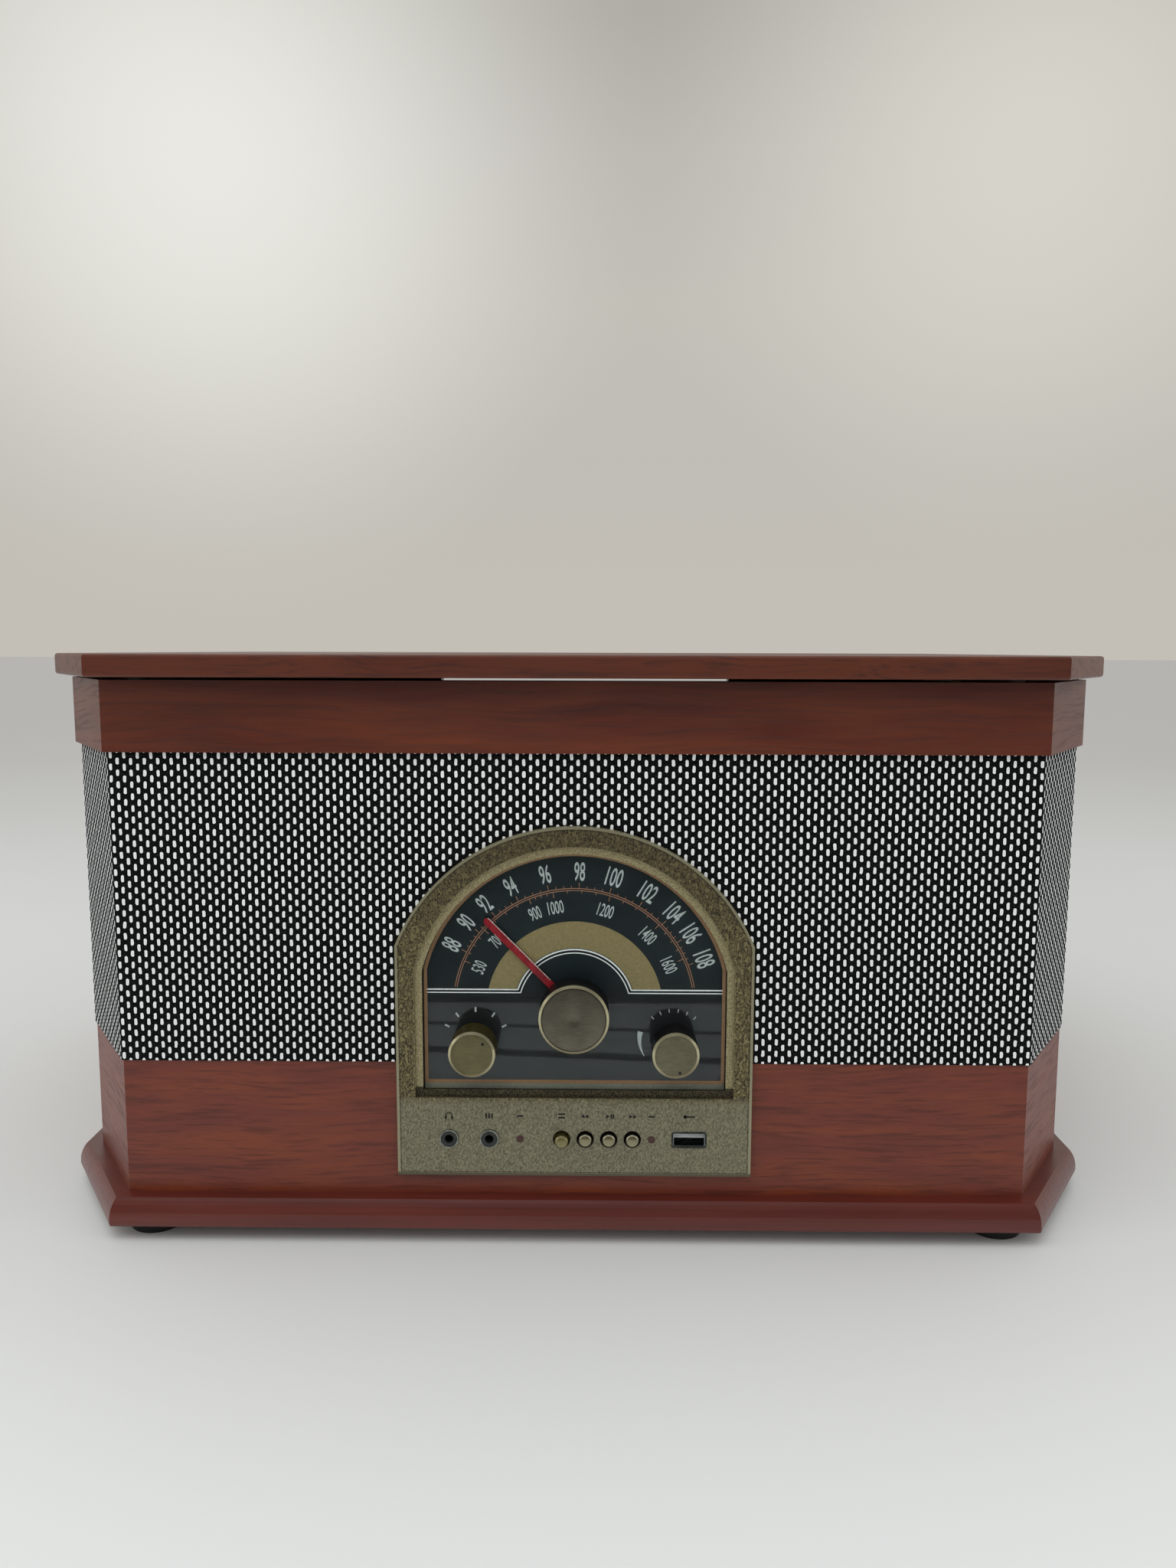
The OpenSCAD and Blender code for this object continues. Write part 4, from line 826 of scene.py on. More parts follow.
# %% [markdown]
# Inks differ in how they cover: the white is thin and a little grey, the copper and the
# orange are warm, and the beige is flat. A fine noise varies each of them.

# %% Inks
def ink(name, colour, roughness):
    """A printed ink with slightly uneven cover."""
    made = finish(name, colour, roughness)
    cover = noise(made, place(made), 900.0, 3)
    thin = tuple(0.82 * part for part in colour[:3]) + (1.0,)
    return wire(made, Base_Color=ramp(made, cover, (0.3, thin), (0.65, colour)),
                Normal=bump(made, cover, 0.1, 0.00005))


white_ink = ink("white_ink", tone(200, 206, 203), 0.5)
line_ink = ink("line_ink", tone(250, 252, 250), 0.45)
beige_ink = ink("beige_ink", tone(150, 132, 87), 0.55)
copper_ink = ink("copper_ink", tone(196, 142, 108), 0.5)
orange_ink = ink("orange_ink", tone(172, 129, 91), 0.45)
grey_ink = ink("grey_ink", tone(157, 155, 139), 0.5)
black_ink = ink("black_ink", tone(8, 9, 11), 0.5)
INK = 0.06 * MM
INK_Y = PRINT_Y - INK / 2


def printed(piece, name, made):
    """Finishes a piece of print on the dial plate."""
    return done(piece, name, "cabinet", made)


print("print is", INK / MM, "mm thick and its face is at y", round(PRINT_Y / MM, 2), "mm")

# %% Arcs by spinning a small rectangle
def on_clock(reach, angle, x=0.0, z=DIAL_Z):
    """Where a place on a clock face is: its reach, its angle in degrees, and the middle."""
    a = math.radians(angle)
    return x + reach * math.sin(a), z + reach * math.cos(a)


def arc_band(centre_z, inner, outer, start, stop, steps=64, front=PRINT_Y, deep=INK):
    """A flat band round a point, from one angle to another, clockwise from straight up."""
    x, z = on_clock((inner + outer) / 2, start, z=centre_z)
    band = sheet((x, front - deep / 2, z), (outer - inner, deep),
                 (0, math.radians(90 + start), 0))
    edit_all(band)
    if stop - start == 360:
        bpy.ops.mesh.delete(type="ONLY_FACE")
        bpy.ops.mesh.select_all(action="SELECT")
    bpy.ops.mesh.spin(steps=steps, angle=-math.radians(stop - start), center=(0, 0, centre_z),
                      axis=(0, 1, 0))
    outward()
    return band


print("an arc is spun about a line through the shaft")

# %% [markdown]
# The sector is one wide arc, cut level below. The outline is two white lines with black
# between them, which run level across the plate and climb over the knob in an arc. Each is
# an arc joined to a bar on either side. The double copper line is two thin arcs.

# %% Beige sector
LINE_HIGH, LINE_LOW = DIAL_Z + 7.4 * MM, DIAL_Z + 6.1 * MM
SECTOR_IN, SECTOR_OUT = 24.9 * MM, 36 * MM
sector = arc_band(DIAL_Z, SECTOR_IN, SECTOR_OUT, -84, 84)
edit_all(sector)
cut_off((0, 0, LINE_HIGH + 0.25 * MM), (0, 0, -1))
outward()
printed(sector, "dial_sector", beige_ink)

# %% White outline on a dark ground
LINE_HALF = 60.4 * MM


def block(middle, size):
    """A starting box with its middle and size in metres."""
    clear()
    bpy.ops.mesh.primitive_cube_add(size=1, location=middle)
    bpy.context.object.scale = size
    return settle()


def joined(pieces):
    """Several pieces made one."""
    hold(pieces[0])
    for piece in pieces:
        piece.select_set(True)
    bpy.ops.object.join()
    return bpy.context.object


def stepped_line(radius, level, width, deep=INK):
    """A line across the dial that climbs over the hub in an arc."""
    lift = math.degrees(math.acos((level - DIAL_Z) / radius))
    parts = [arc_band(DIAL_Z, radius - width / 2, radius + width / 2, -lift, lift, 48,
                      deep=deep)]
    foot = on_clock(radius, lift)[0]
    for side in (-1, 1):
        parts.append(block((side * (foot + LINE_HALF) / 2, PRINT_Y - deep / 2, level),
                           (LINE_HALF - foot + width * 0.6, deep, width)))
    return joined(parts)


printed(joined([stepped_line(24.3 * MM, LINE_HIGH, 0.6 * MM),
                stepped_line(22.9 * MM, LINE_LOW, 0.45 * MM)]), "dial_outline", line_ink)
printed(stepped_line(23.6 * MM, (LINE_HIGH + LINE_LOW) / 2, 1.7 * MM, INK / 2),
        "dial_outline_ground", black_ink)

# %% Double scale line
SCALE_R, SCALE_FOOT = 49.2 * MM, 8.5 * MM
scale_end = math.degrees(math.acos(SCALE_FOOT / SCALE_R))
printed(joined([arc_band(DIAL_Z, SCALE_R + step * MM, SCALE_R + (step + 0.24) * MM,
                         -scale_end, scale_end, 72) for step in (-0.54, 0.3)]),
        "dial_scale_line", copper_ink)

# %% [markdown]
# Each number is a text object made a mesh, squeezed to the narrow digits of the dial, and
# turned so that its foot points at the shaft. A digit's width is what keeps a long number
# from looking bigger than a short one, so width is given per digit.

# %% Text made a mesh
def moved(piece, step, turn=(0, 0, 0)):
    """Turns a piece about the origin, moves it, and puts both in its mesh."""
    hold(piece)
    piece.location = step
    piece.rotation_euler = turn
    return settle()


def lettering(text, size, at=(0, 0, 0), side="LEFT", stroke=0.0):
    """Text as a mesh of ink; stroke fattens its lines."""
    clear()
    bpy.ops.object.text_add(location=at)
    words = bpy.context.object.data
    words.body = text
    words.size = size
    words.align_x = side
    words.offset = stroke
    words.resolution_u = 3
    words.extrude = INK / 2
    bpy.ops.object.convert(target="MESH")
    return settle()


def number(text, radius, angle, tall, digit, stroke):
    """A printed number with its middle at a radius and an angle from straight up."""
    shape = lettering(text, 10 * MM, stroke=stroke)
    spots = [v.co for v in shape.data.vertices]
    left, right = min(s.x for s in spots), max(s.x for s in spots)
    foot, top = min(s.y for s in spots), max(s.y for s in spots)
    wide = digit * len(text)
    for spot in spots:
        spot.x = (spot.x - (left + right) / 2) * wide / (right - left)
        spot.y = (spot.y - (foot + top) / 2) * tall / (top - foot)
    x, z = on_clock(radius, angle)
    return moved(shape, (x, INK_Y, z), (math.radians(90), math.radians(angle), 0))


print("a number is squeezed to its height and to its digits' width")

# %% Numbers round the shaft
FM_MARKS = {"88": -62.4, "90": -51.2, "92": -40.4, "94": -27.3, "96": -12.3, "98": 2.0,
            "100": 16.5, "102": 31.7, "104": 45.5, "106": 56.6, "108": 68.7}
AM_MARKS = {"530": -66.7, "700": -48.7, "900": -22.3, "1000": -10.5, "1200": 17.2,
            "1400": 44.6, "1600": 65.0}
# radius, height of a digit, width of a digit and extra stroke, in millimetres
for level, numbers, sizes in (("upper", FM_MARKS, (56.6, 7.8, 2.2, 0.1)),
                              ("lower", AM_MARKS, (42.4, 5.4, 1.6, 0.05))):
    radius, tall, digit, stroke = (size * MM for size in sizes)
    printed(joined([number(text, radius, angle, tall, digit, stroke)
                    for text, angle in numbers.items()]), "dial_numbers_" + level, white_ink)

# %% [markdown]
# A tick is a thin block that is made upright at the origin and then turned about it and
# moved, all in one step. Between two numbers the scale has four even parts.

# %% Ticks of both scales
def tick(radius, angle, length, width, x=0.0, z=DIAL_Z):
    """A short printed line that points at the middle of its clock face."""
    mark = block((0, INK_Y, 0), (width, INK, length))
    mark_x, mark_z = on_clock(radius, angle, x, z)
    return moved(mark, (mark_x, 0, mark_z), (0, math.radians(angle), 0))


def spread(angles, parts):
    """Angles at even parts between each two neighbours, ends included."""
    found = []
    for first, last in zip(angles, angles[1:]):
        found += [first + (last - first) * i / parts for i in range(parts)]
    return found + [angles[-1]]


ticks = []
for numbers, long_at, short_at in ((FM_MARKS, 50.8 * MM, 50.2 * MM),
                                   (AM_MARKS, 47.6 * MM, 48.2 * MM)):
    angles = list(numbers.values())
    ticks += [tick(long_at, a, 2.2 * MM, 0.24 * MM) for a in angles]
    ticks += [tick(short_at, a, 1.1 * MM, 0.18 * MM) for a in spread(angles, 4)]
printed(joined(ticks), "dial_ticks", copper_ink)

# %% [markdown]
# Along the edge of the print runs a copper line. It has the outline of the window, so it
# starts as a solid arch and is inset to leave a frame. Below it lies a grey band.

# %% Insets and frames
def inset(piece, wanted, width, depth=0.0):
    """Insets the wanted faces and leaves edit mode."""
    pick(piece, wanted)
    bpy.ops.mesh.inset(thickness=width, depth=depth)
    leave()


def hollow(piece, wanted, width):
    """Turns a flat block into a frame of a given width."""
    pick(piece, wanted)
    bpy.ops.mesh.inset(thickness=width, depth=0, use_individual=True)
    bpy.ops.mesh.bridge_edge_loops()
    outward()


print("a face can be inset, and a block made a frame")

# %% Copper line along the edge
EDGE_HALF, EDGE_R, EDGE_LOW = 61.7 * MM, 63.6 * MM, 64.3 * MM
edge_line = arch_block(INK_Y, INK, EDGE_HALF, EDGE_R, WINDOW_Z, EDGE_LOW, 128)
pick(edge_line, FRONT_AND_BACK)
bpy.ops.mesh.dissolve_limited(angle_limit=0.01)
hollow(edge_line, FRONT_AND_BACK, 1.4 * MM)
printed(edge_line, "dial_edge_line", orange_ink)

foot_band = block((0, INK_Y, (EDGE_LOW + PLATE_LOW) / 2 + 0.1 * MM),
                  (2 * EDGE_HALF, INK, EDGE_LOW - PLATE_LOW - 0.3 * MM))
inset(foot_band, FRONT, 0.3 * MM)
printed(foot_band, "dial_foot_band", grey_ink)

# %% [markdown]
# Round the left knob are the marks of its positions, and beside the right knob a wedge
# that grows with the volume. On this player they are plain marks without words.

# %% Marks round the left knob
KNOB_X, KNOB_Z = 40.6 * MM, 82.1 * MM
MARK_R = 13.4 * MM
dots = [tick(MARK_R, angle, 2.0 * MM, 0.7 * MM, -KNOB_X, KNOB_Z)
        for angle in (-61, -34, 0, 33, 61)]
for dot in dots:
    inset(dot, FRONT, 0.12 * MM)
printed(joined(dots), "function_marks", white_ink)

# %% [markdown]
# The volume wedge starts as a thin arc of even width. Its inner edge stays, and its outer
# edge is moved further and further from the knob along the arc. A straight taper would
# not do, since the arc is bent.

# %% Volume wedge and the marks over it
WEDGE_R, WEDGE_FROM, WEDGE_TO = 13.2 * MM, -117, -72
THIN, GROWTH = 0.3, 3.3
wedge = arc_band(KNOB_Z, WEDGE_R, WEDGE_R + 0.6 * MM, WEDGE_FROM, WEDGE_TO, 20)
for spot in wedge.data.vertices:
    run_x, run_z = spot.co.x, spot.co.z - KNOB_Z
    turn = math.degrees(math.atan2(run_x, run_z))
    share = (turn - WEDGE_FROM) / (WEDGE_TO - WEDGE_FROM)
    reach = math.hypot(run_x, run_z)
    wide = (WEDGE_R + (reach - WEDGE_R) * (THIN + GROWTH * share)) / reach
    spot.co.x, spot.co.z = run_x * wide, KNOB_Z + run_z * wide
printed(moved(wedge, (KNOB_X, 0, 0)), "volume_wedge", white_ink)
printed(joined([tick(MARK_R, angle, 1.5 * MM, 0.35 * MM, KNOB_X, KNOB_Z)
                for angle in range(-40, 41, 16)]), "volume_marks", white_ink)

# %% [markdown]
# ## The window
#
# Clear plastic shows the dial and, over it, a weak picture of the room. A shader that lets
# light straight through and adds a reflection where the angle calls for it keeps the dial
# clean and bright. The reflection's share rises with the fifth power of the angle's facing
# value, the usual short form of the Fresnel law. It is the same from both sides of the
# pane, so light that passes straight through is never turned back inside it, as the
# Fresnel node would do here. A little haze from handling breaks the reflection.

# %% Clear pane
pane = finish("clear_pane", (0.9, 0.93, 0.93, 1), 0.04, metallic=1.0)
haze = noise(pane, place(pane), 60.0, 4)
wire(pane, Roughness=scaled(pane, haze, 0.02, 0.01))
facing = add(pane, "LayerWeight", {"Blend": 0.5}).outputs["Facing"]
law = scaled(pane, calc(pane, "POWER", facing, 5.0), 0.6)
through = add(pane, "BsdfTransparent", {0: (0.95, 0.97, 0.97, 1)})
glass = add(pane, "MixShader", {0: law, 1: through.outputs[0], 2: main_shader(pane).outputs[0]})
pane.node_tree.links.new(glass.outputs[0],
                         pane.node_tree.nodes["Material Output"].inputs["Surface"])
dress(pane, "dial_window")

# %% [markdown]
# The pointer is a strip of red plastic with a cut edge that catches the light. That light is
# painted: a pale thread of a piece along one side is a painted highlight, and turns with the
# knob like the pointer.

# %% Pointer and its bright edge
red = finish("pointer_red", tone(150, 26, 36), 0.25, coat=0.4)
clouded(red, noise(red, place(red), 350.0, 2), tone(132, 18, 28), tone(164, 32, 42))
dress(red, "dial_pointer")
POINTER_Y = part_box("dial_window")[1][Y] + 0.6 * MM
POINTER_R, POINTER_ANGLE = 33 * MM, -44.5
bright_edge = block((1.38 * MM, POINTER_Y - 0.04 * MM, 0), (0.3 * MM, 0.08 * MM, 35 * MM))
pick(bright_edge, UPPER)
draw_out(-0.12 * MM, 0, 0.9 * MM)
edge_x, edge_z = on_clock(POINTER_R, POINTER_ANGLE)
moved(bright_edge, (edge_x, 0, edge_z), (0, math.radians(POINTER_ANGLE), 0))
# Painted highlight: the pale thread stands for light caught on the cut edge.
thread_highlight = finish("pointer_highlight_paint", tone(206, 200, 190), 0.2)
clouded(thread_highlight, noise(thread_highlight, place(thread_highlight), 800.0, 2), tone(170, 160, 150),
        tone(232, 228, 220))
done(bright_edge, "pointer_highlight_thread", "tuning_knob", thread_highlight)

# %% [markdown]
# ## Knobs and buttons
#
# The knobs have a spun disc on their face, with fine scratches all round, a bright cut
# rim, and dark sides. The shader finds the disc, the rim and the sides by the distance
# from the knob's own axis and by the depth behind its face. The large knob has a separate
# face plate with a small turned hollow in its middle.

# %% A spun bronze knob
KNOB_FACE_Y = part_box("tuning_knob")[0][Y]
SIDE_BLACK = tone(34, 34, 32)


def spun_knob(name, centre_x, centre_z, radius, side_tone, disc_tone):
    """Bronze plating with a spun face about its own axis."""
    made = finish(name, disc_tone, 0.3, metallic=0.75)
    x, y, z = axes(made, place(made, offset=(-centre_x, -KNOB_FACE_Y, -centre_z)))
    reach = distance(made, x, z)
    rim = calc(made, "MULTIPLY", between(made, reach, radius - 1.1 * MM, radius - 0.8 * MM),
               between(made, y, 1.4 * MM, 1.0 * MM))
    turn = scaled(made, calc(made, "ARCTAN2", x, z), 1.2)
    around = add(made, "CombineXYZ", {0: scaled(made, reach, 5200.0), 1: turn}).outputs[0]
    rings = noise(made, around, 1.0, 3, 0.7)
    strokes = noise(made, place(made, (260, 260, 4200), turn=(0, 0.12, 0)), 1.0, 3)
    smear = noise(made, place(made), 160.0, 3)
    grain = scaled(made, smear, 0.3, scaled(made, strokes, 0.45, scaled(made, rings, 0.25)))
    dark, bright = (tuple(part * c for c in disc_tone[:3]) + (1,) for part in (0.72, 1.12))
    shine = mixed(made, rim, ramp(made, grain, (0.38, dark), (0.62, bright)),
                  tone(190, 184, 150))
    side = between(made, y, 1.0 * MM, 2.4 * MM)
    return wire(made, Base_Color=mixed(made, side, shine, side_tone),
                Roughness=scaled(made, rim, -0.12, 0.36), Normal=bump(made, rings, 0.1, 0.0001))


tuning_bronze = spun_knob("tuning_bronze", 0, DIAL_Z, 14 * MM, SIDE_BLACK, tone(114, 109, 95))
dress(tuning_bronze, "tuning_knob")
dress(spun_knob("volume_bronze", KNOB_X, KNOB_Z, 9.35 * MM, SIDE_BLACK, tone(126, 121, 98)),
      "volume_knob")
dress(spun_knob("function_bronze", -KNOB_X, KNOB_Z, 9.35 * MM, tone(96, 86, 44),
                tone(122, 116, 84)), "function_knob")

# %% [markdown]
# The face plate of the large knob is a thin disc. Its front is inset five times: the rim
# is raised, and the middle is sunk in three steps, as a lathe would leave it. The small
# knobs have only a drilled dot each, which shows how far they are turned.

# %% Face plate of the large knob
face_plate = disc((0, KNOB_FACE_Y + 0.29 * MM, DIAL_Z), 12.5 * MM, 0.34 * MM, sides=96)
pick(face_plate, FRONT)
for ring_wide, sink in ((0.3, 0.06), (9.3, 0.0), (0.5, -0.05), (0.9, -0.16), (0.7, -0.06)):
    bpy.ops.mesh.inset(thickness=ring_wide * MM, depth=sink * MM)
leave()
done(face_plate, "tuning_face", "tuning_knob", tuning_bronze, smooth=40)

# %% Pointer dots of the small knobs
dark_spot = finish("dark_spot", tone(24, 22, 18), 0.6)
clouded(dark_spot, noise(dark_spot, place(dark_spot), 3000.0, 2), tone(10, 9, 7),
        tone(24, 22, 18))
for name, centre_x, reach, angle in (("function", -KNOB_X, 6.3 * MM, 45),
                                     ("volume", KNOB_X, 7.2 * MM, 166.6)):
    x, z = on_clock(reach, angle, centre_x, KNOB_Z)
    dot = disc((x, KNOB_FACE_Y + 0.35 * MM, z), 0.6 * MM, 0.12 * MM, sides=16)
    inset(dot, FRONT, 0.15 * MM, -0.06 * MM)
    done(dot, name + "_dot", name + "_knob", dark_spot)

# %% [markdown]
# The four buttons are alike and stand in a row at an even step. One material serves all:
# the remainder of a division by the step gives the place on each cap. The light falls from
# above, so each cap has a painted highlight at its upper rim and a painted reflection that
# is pale on its lower half and dark on its upper half, and a ring of painted shade lies in
# the gap round it. The first cap is a little yellower.

# %% Buttons
ROW_Z = 42.7 * MM
BUTTON_STEP = 9.65 * MM
cap = finish("button_bronze", tone(150, 144, 112), 0.26, metallic=0.7)
row_x, _, cap_z = axes(cap, place(cap, offset=(5.1 * MM + BUTTON_STEP / 2, 0, -ROW_Z)))
cap_x = calc(cap, "SUBTRACT", calc(cap, "MODULO", row_x, BUTTON_STEP), BUTTON_STEP / 2)
cap_reach = distance(cap, cap_x, cap_z)
polish = noise(cap, place(cap), 260.0, 3)
# Painted reflection: the ramp below makes each cap pale on its lower half and dark on its upper
# half; a little polish noise is mixed in.
polish_and_reflection = scaled(cap, calc(cap, "SUBTRACT", polish, 0.5), 0.1,
                    between(cap, cap_z, -2.5 * MM, 2.5 * MM))
cap_tone = ramp(cap, polish_and_reflection, (0.0, tone(160, 154, 128)), (0.55, tone(142, 136, 108)),
                (0.66, tone(100, 92, 64)), (0.9, tone(96, 88, 60)))
# Painted highlight on the upper rim of each cap.
lit_rim = calc(cap, "MULTIPLY", between(cap, cap_reach, 2.0 * MM, 2.25 * MM),
               between(cap, cap_z, 0.2 * MM, 0.8 * MM))
cap_tone = mixed(cap, scaled(cap, lit_rim, 0.8), cap_tone, tone(214, 208, 182))
# Painted shade: a dark ring in the gap round each cap.
cap_tone = mixed(cap, between(cap, cap_reach, 2.45 * MM, 2.6 * MM), cap_tone, tone(26, 22, 14))
first_cap = scaled(cap, between(cap, row_x, BUTTON_STEP, BUTTON_STEP - 0.2 * MM), 0.45)
cap_tone = mixed(cap, first_cap, cap_tone, tone(126, 114, 54))
wire(cap, Base_Color=cap_tone, Roughness=scaled(cap, polish, 0.15, 0.22))
dress(cap, "button_source", "button_back", "button_play", "button_forward")

# %% [markdown]
# ## The row of sockets
#
# The two round sockets are black nuts round a bore that is darkened with depth by painted
# shade. The data socket is a folded steel shell with a black tongue. The lamps are off, so
# they read as deep red glass beads.

# %% Sockets and lamps
plated = finish("socket_plate", tone(40, 42, 42), 0.4)
handled = noise(plated, place(plated), 700.0, 3)
# Painted shade: the bore grows dark with its depth.
bore_shade = between(plated, axes(plated, place(plated))[Y], -164 * MM, -161 * MM)
nut_tone = ramp(plated, handled, (0.3, tone(26, 29, 28)), (0.7, tone(46, 50, 48)))
wire(plated, Base_Color=mixed(plated, bore_shade, nut_tone, tone(14, 16, 26)),
     Roughness=scaled(plated, handled, 0.2, 0.35))
dress(plated, "front_jacks")
shell = finish("socket_shell", tone(150, 152, 152), 0.24, metallic=1.0)
clouded(shell, noise(shell, place(shell, (60, 900, 900)), 1.0, 3), tone(96, 98, 98),
        tone(178, 181, 181), 0.2, 0.16)
dress(shell, "usb_socket")
bead = finish("lamp_bead", tone(56, 26, 20), 0.3, coat=0.15)
clouded(bead, noise(bead, place(bead), 900.0, 2), tone(36, 20, 14), tone(76, 32, 24))
dress(bead, "indicator_lamps")

# %% [markdown]
# A bright ring lies round the bore of each nut, and a dark rolled lip round the data
# socket. The ring is spun. The lip is a flat block whose four short edges are rounded by a
# weighted bevel, and which is then made a frame.

# %% Rims of the round sockets
FACE_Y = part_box("bezel")[0][Y]
NUT_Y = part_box("front_jacks")[0][Y]
JACKS_X = (-51.3 * MM, -34.8 * MM)
rim_metal = finish("rim_metal", tone(150, 154, 142), 0.22, metallic=0.9)
clouded(rim_metal, noise(rim_metal, place(rim_metal), 500.0, 3), tone(92, 96, 86),
        tone(176, 180, 166), 0.2, 0.14)
rims = [moved(arc_band(ROW_Z, 3.45 * MM, 3.88 * MM, 0, 360, 40, NUT_Y + 0.05 * MM, 0.15 * MM),
              (x, 0, 0)) for x in JACKS_X]
done(joined(rims), "jack_rims", "cabinet", rim_metal, smooth=30)

# %% Lip of the data socket
socket_middle = [(low + high) / 2 for low, high in zip(*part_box("usb_socket"))]
lip = block((socket_middle[X], FACE_Y - 0.08 * MM, socket_middle[Z]),
            (14.4 * MM, 0.2 * MM, 6.9 * MM))
rounding = hold(lip).modifiers.new("rounding", "BEVEL")
rounding.width = 1.1 * MM
rounding.segments = 4
rounding.affect = "EDGES"
rounding.limit_method = "WEIGHT"
weights = lip.data.attributes.new("bevel_weight_edge", "FLOAT", "EDGE")
for edge in lip.data.edges:
    first, last = (lip.data.vertices[i].co for i in edge.vertices)
    weights.data[edge.index].value = 1.0 if abs(first.y - last.y) > 0.1 * MM else 0.0
bpy.ops.object.modifier_apply(modifier="rounding")
hollow(lip, FRONT_AND_BACK, 0.75 * MM)
lip_metal = finish("lip_metal", tone(48, 50, 46), 0.24, metallic=0.6)
clouded(lip_metal, noise(lip_metal, place(lip_metal), 400.0, 3), tone(26, 28, 25),
        tone(66, 70, 64), 0.2, 0.16, low=0.35)
done(lip, "socket_lip", "cabinet", lip_metal)

# %% [markdown]
# Over the row are small pressed-in marks. They are kept to plain signs: a ring, dots, bars
# and the usual triangles for back, play and forward.

# %% Pressed marks above the row
SIGN_Z, SIGN_DEEP = 52.5 * MM, 0.05 * MM
SIGN_Y = FACE_Y - 0.02 * MM
# bars: middle in x, step in z from the row, width and height, in millimetres
BARS = ((-52.6, -0.9, 0.7, 1.1), (-50, -0.9, 0.7, 1.1), (-36, 0, 0.5, 2), (-34.8, 0, 0.5, 2),
        (-33.6, 0, 0.5, 2), (-22.1, 0, 2.4, 0.5), (-5.1, 0.9, 2.6, 0.5), (-5.1, -0.6, 2.6, 0.5),
        (15.2, 0, 0.4, 1.8), (16.1, 0, 0.4, 1.8), (31.7, 0, 2.4, 0.5), (47.1, 0, 4.6, 0.45),
        (45.4, 0, 0.9, 1.3))
# triangles: middle in x, in millimetres, and the way they point
TRIANGLES = ((3.75, -1), (5.35, -1), (13.6, 1), (23.05, 1), (24.65, 1))
pressed = ink("pressed_ink", tone(26, 23, 14), 0.7)
ring = arc_band(SIGN_Z, 1.1 * MM, 1.5 * MM, -118, 118, 20, FACE_Y + 0.005 * MM, SIGN_DEEP)
signs = [moved(ring, (JACKS_X[0], 0, 0))]
signs += [block((x * MM, SIGN_Y, SIGN_Z + step * MM),
                ((wide + 0.2) * MM, SIGN_DEEP, (tall + 0.2) * MM))
          for x, step, wide, tall in BARS]
for x, way in TRIANGLES:
    clear()
    bpy.ops.mesh.primitive_cylinder_add(
        vertices=3, radius=1.0 * MM, depth=SIGN_DEEP, location=(x * MM, SIGN_Y, SIGN_Z),
        rotation=(math.radians(90), math.radians(90 * way), 0))
    signs.append(settle())
done(joined(signs), "row_marks", "cabinet", pressed)

# %% [markdown]
# ## Rubber, moulded plastic and plain metals
#
# The rest of the player is made of a few stock materials. Each gets a maker of its own, so
# that a black moulding under the lid does not look like the black rubber of the mat: their
# grain, colour variation and shine differ.

# %% Rubber
def rubber(name, dark, worn, roughness):
    """Matt rubber with a dusty bloom."""
    made = finish(name, dark, roughness)
    dust = noise(made, place(made), 55.0, 5, 0.65)
    pit = noise(made, place(made), 2600.0, 2)
    return wire(made, Base_Color=ramp(made, dust, (0.4, dark), (0.75, worn)),
                Roughness=scaled(made, dust, 0.2, roughness - 0.12),
                Normal=bump(made, pit, 0.15, 0.0001))


dress(rubber("foot_rubber", tone(20, 20, 20), tone(44, 43, 41), 0.8), "rubber_feet")
dress(rubber("bumper_rubber", tone(66, 63, 58), tone(88, 84, 77), 0.6), "lid_bumpers")
dress(rubber("belt_rubber", tone(14, 14, 14), tone(26, 26, 26), 0.55), "drive_belt")

# %% [markdown]
# A steel mould is roughened by sparks, and its grain is left on the plastic. So moulded
# plastic has a fine relief, and here its high spots are a little duller.

# %% Moulded plastic
def moulding(name, body, pale, roughness, grain=900.0):
    """Moulded plastic with a spark-eroded grain."""
    made = finish(name, body, roughness)
    tiny = noise(made, place(made), grain, 3, 0.55)
    cloud = noise(made, place(made), 14.0, 3)
    tint = scaled(made, cloud, 0.7, scaled(made, tiny, 0.3))
    return wire(made, Base_Color=ramp(made, tint, (0.35, body), (0.7, pale)),
                Roughness=scaled(made, tiny, 0.18, roughness - 0.09),
                Normal=bump(made, tiny, 0.25, 0.00015))


dress(moulding("deck_black", tone(26, 26, 27), tone(38, 38, 39), 0.52), "deck")
dress(moulding("arm_black", tone(22, 22, 23), tone(36, 36, 37), 0.4, 500.0),
      "arm_base", "arm_clip", "cue_lever")
dress(moulding("socket_black", tone(24, 24, 24), tone(40, 40, 39), 0.45), "rear_sockets")
dress(moulding("adapter_black", tone(24, 24, 25), tone(34, 34, 35), 0.3), "record_adapter")
dress(moulding("cartridge_red", tone(150, 24, 24), tone(176, 38, 34), 0.3), "cartridge")
dress(moulding("ferrite", tone(60, 60, 62), tone(82, 82, 84), 0.6), "ferrite_aerial")
dress(moulding("back_fibre", tone(32, 31, 29), tone(48, 46, 42), 0.78, 260.0), "back_panel")
dress(moulding("baffle_fibre", tone(34, 33, 31), tone(44, 42, 39), 0.8, 260.0), "speaker_baffles")
dress(moulding("cone_paper", tone(36, 35, 34), tone(56, 54, 51), 0.85, 420.0), "speaker_cones")

# %% [markdown]
# Rolled and drawn metal has fine lines along the way it was drawn. Noise gives them when
# it is stretched along that way. A slow stain varies colour and shine.

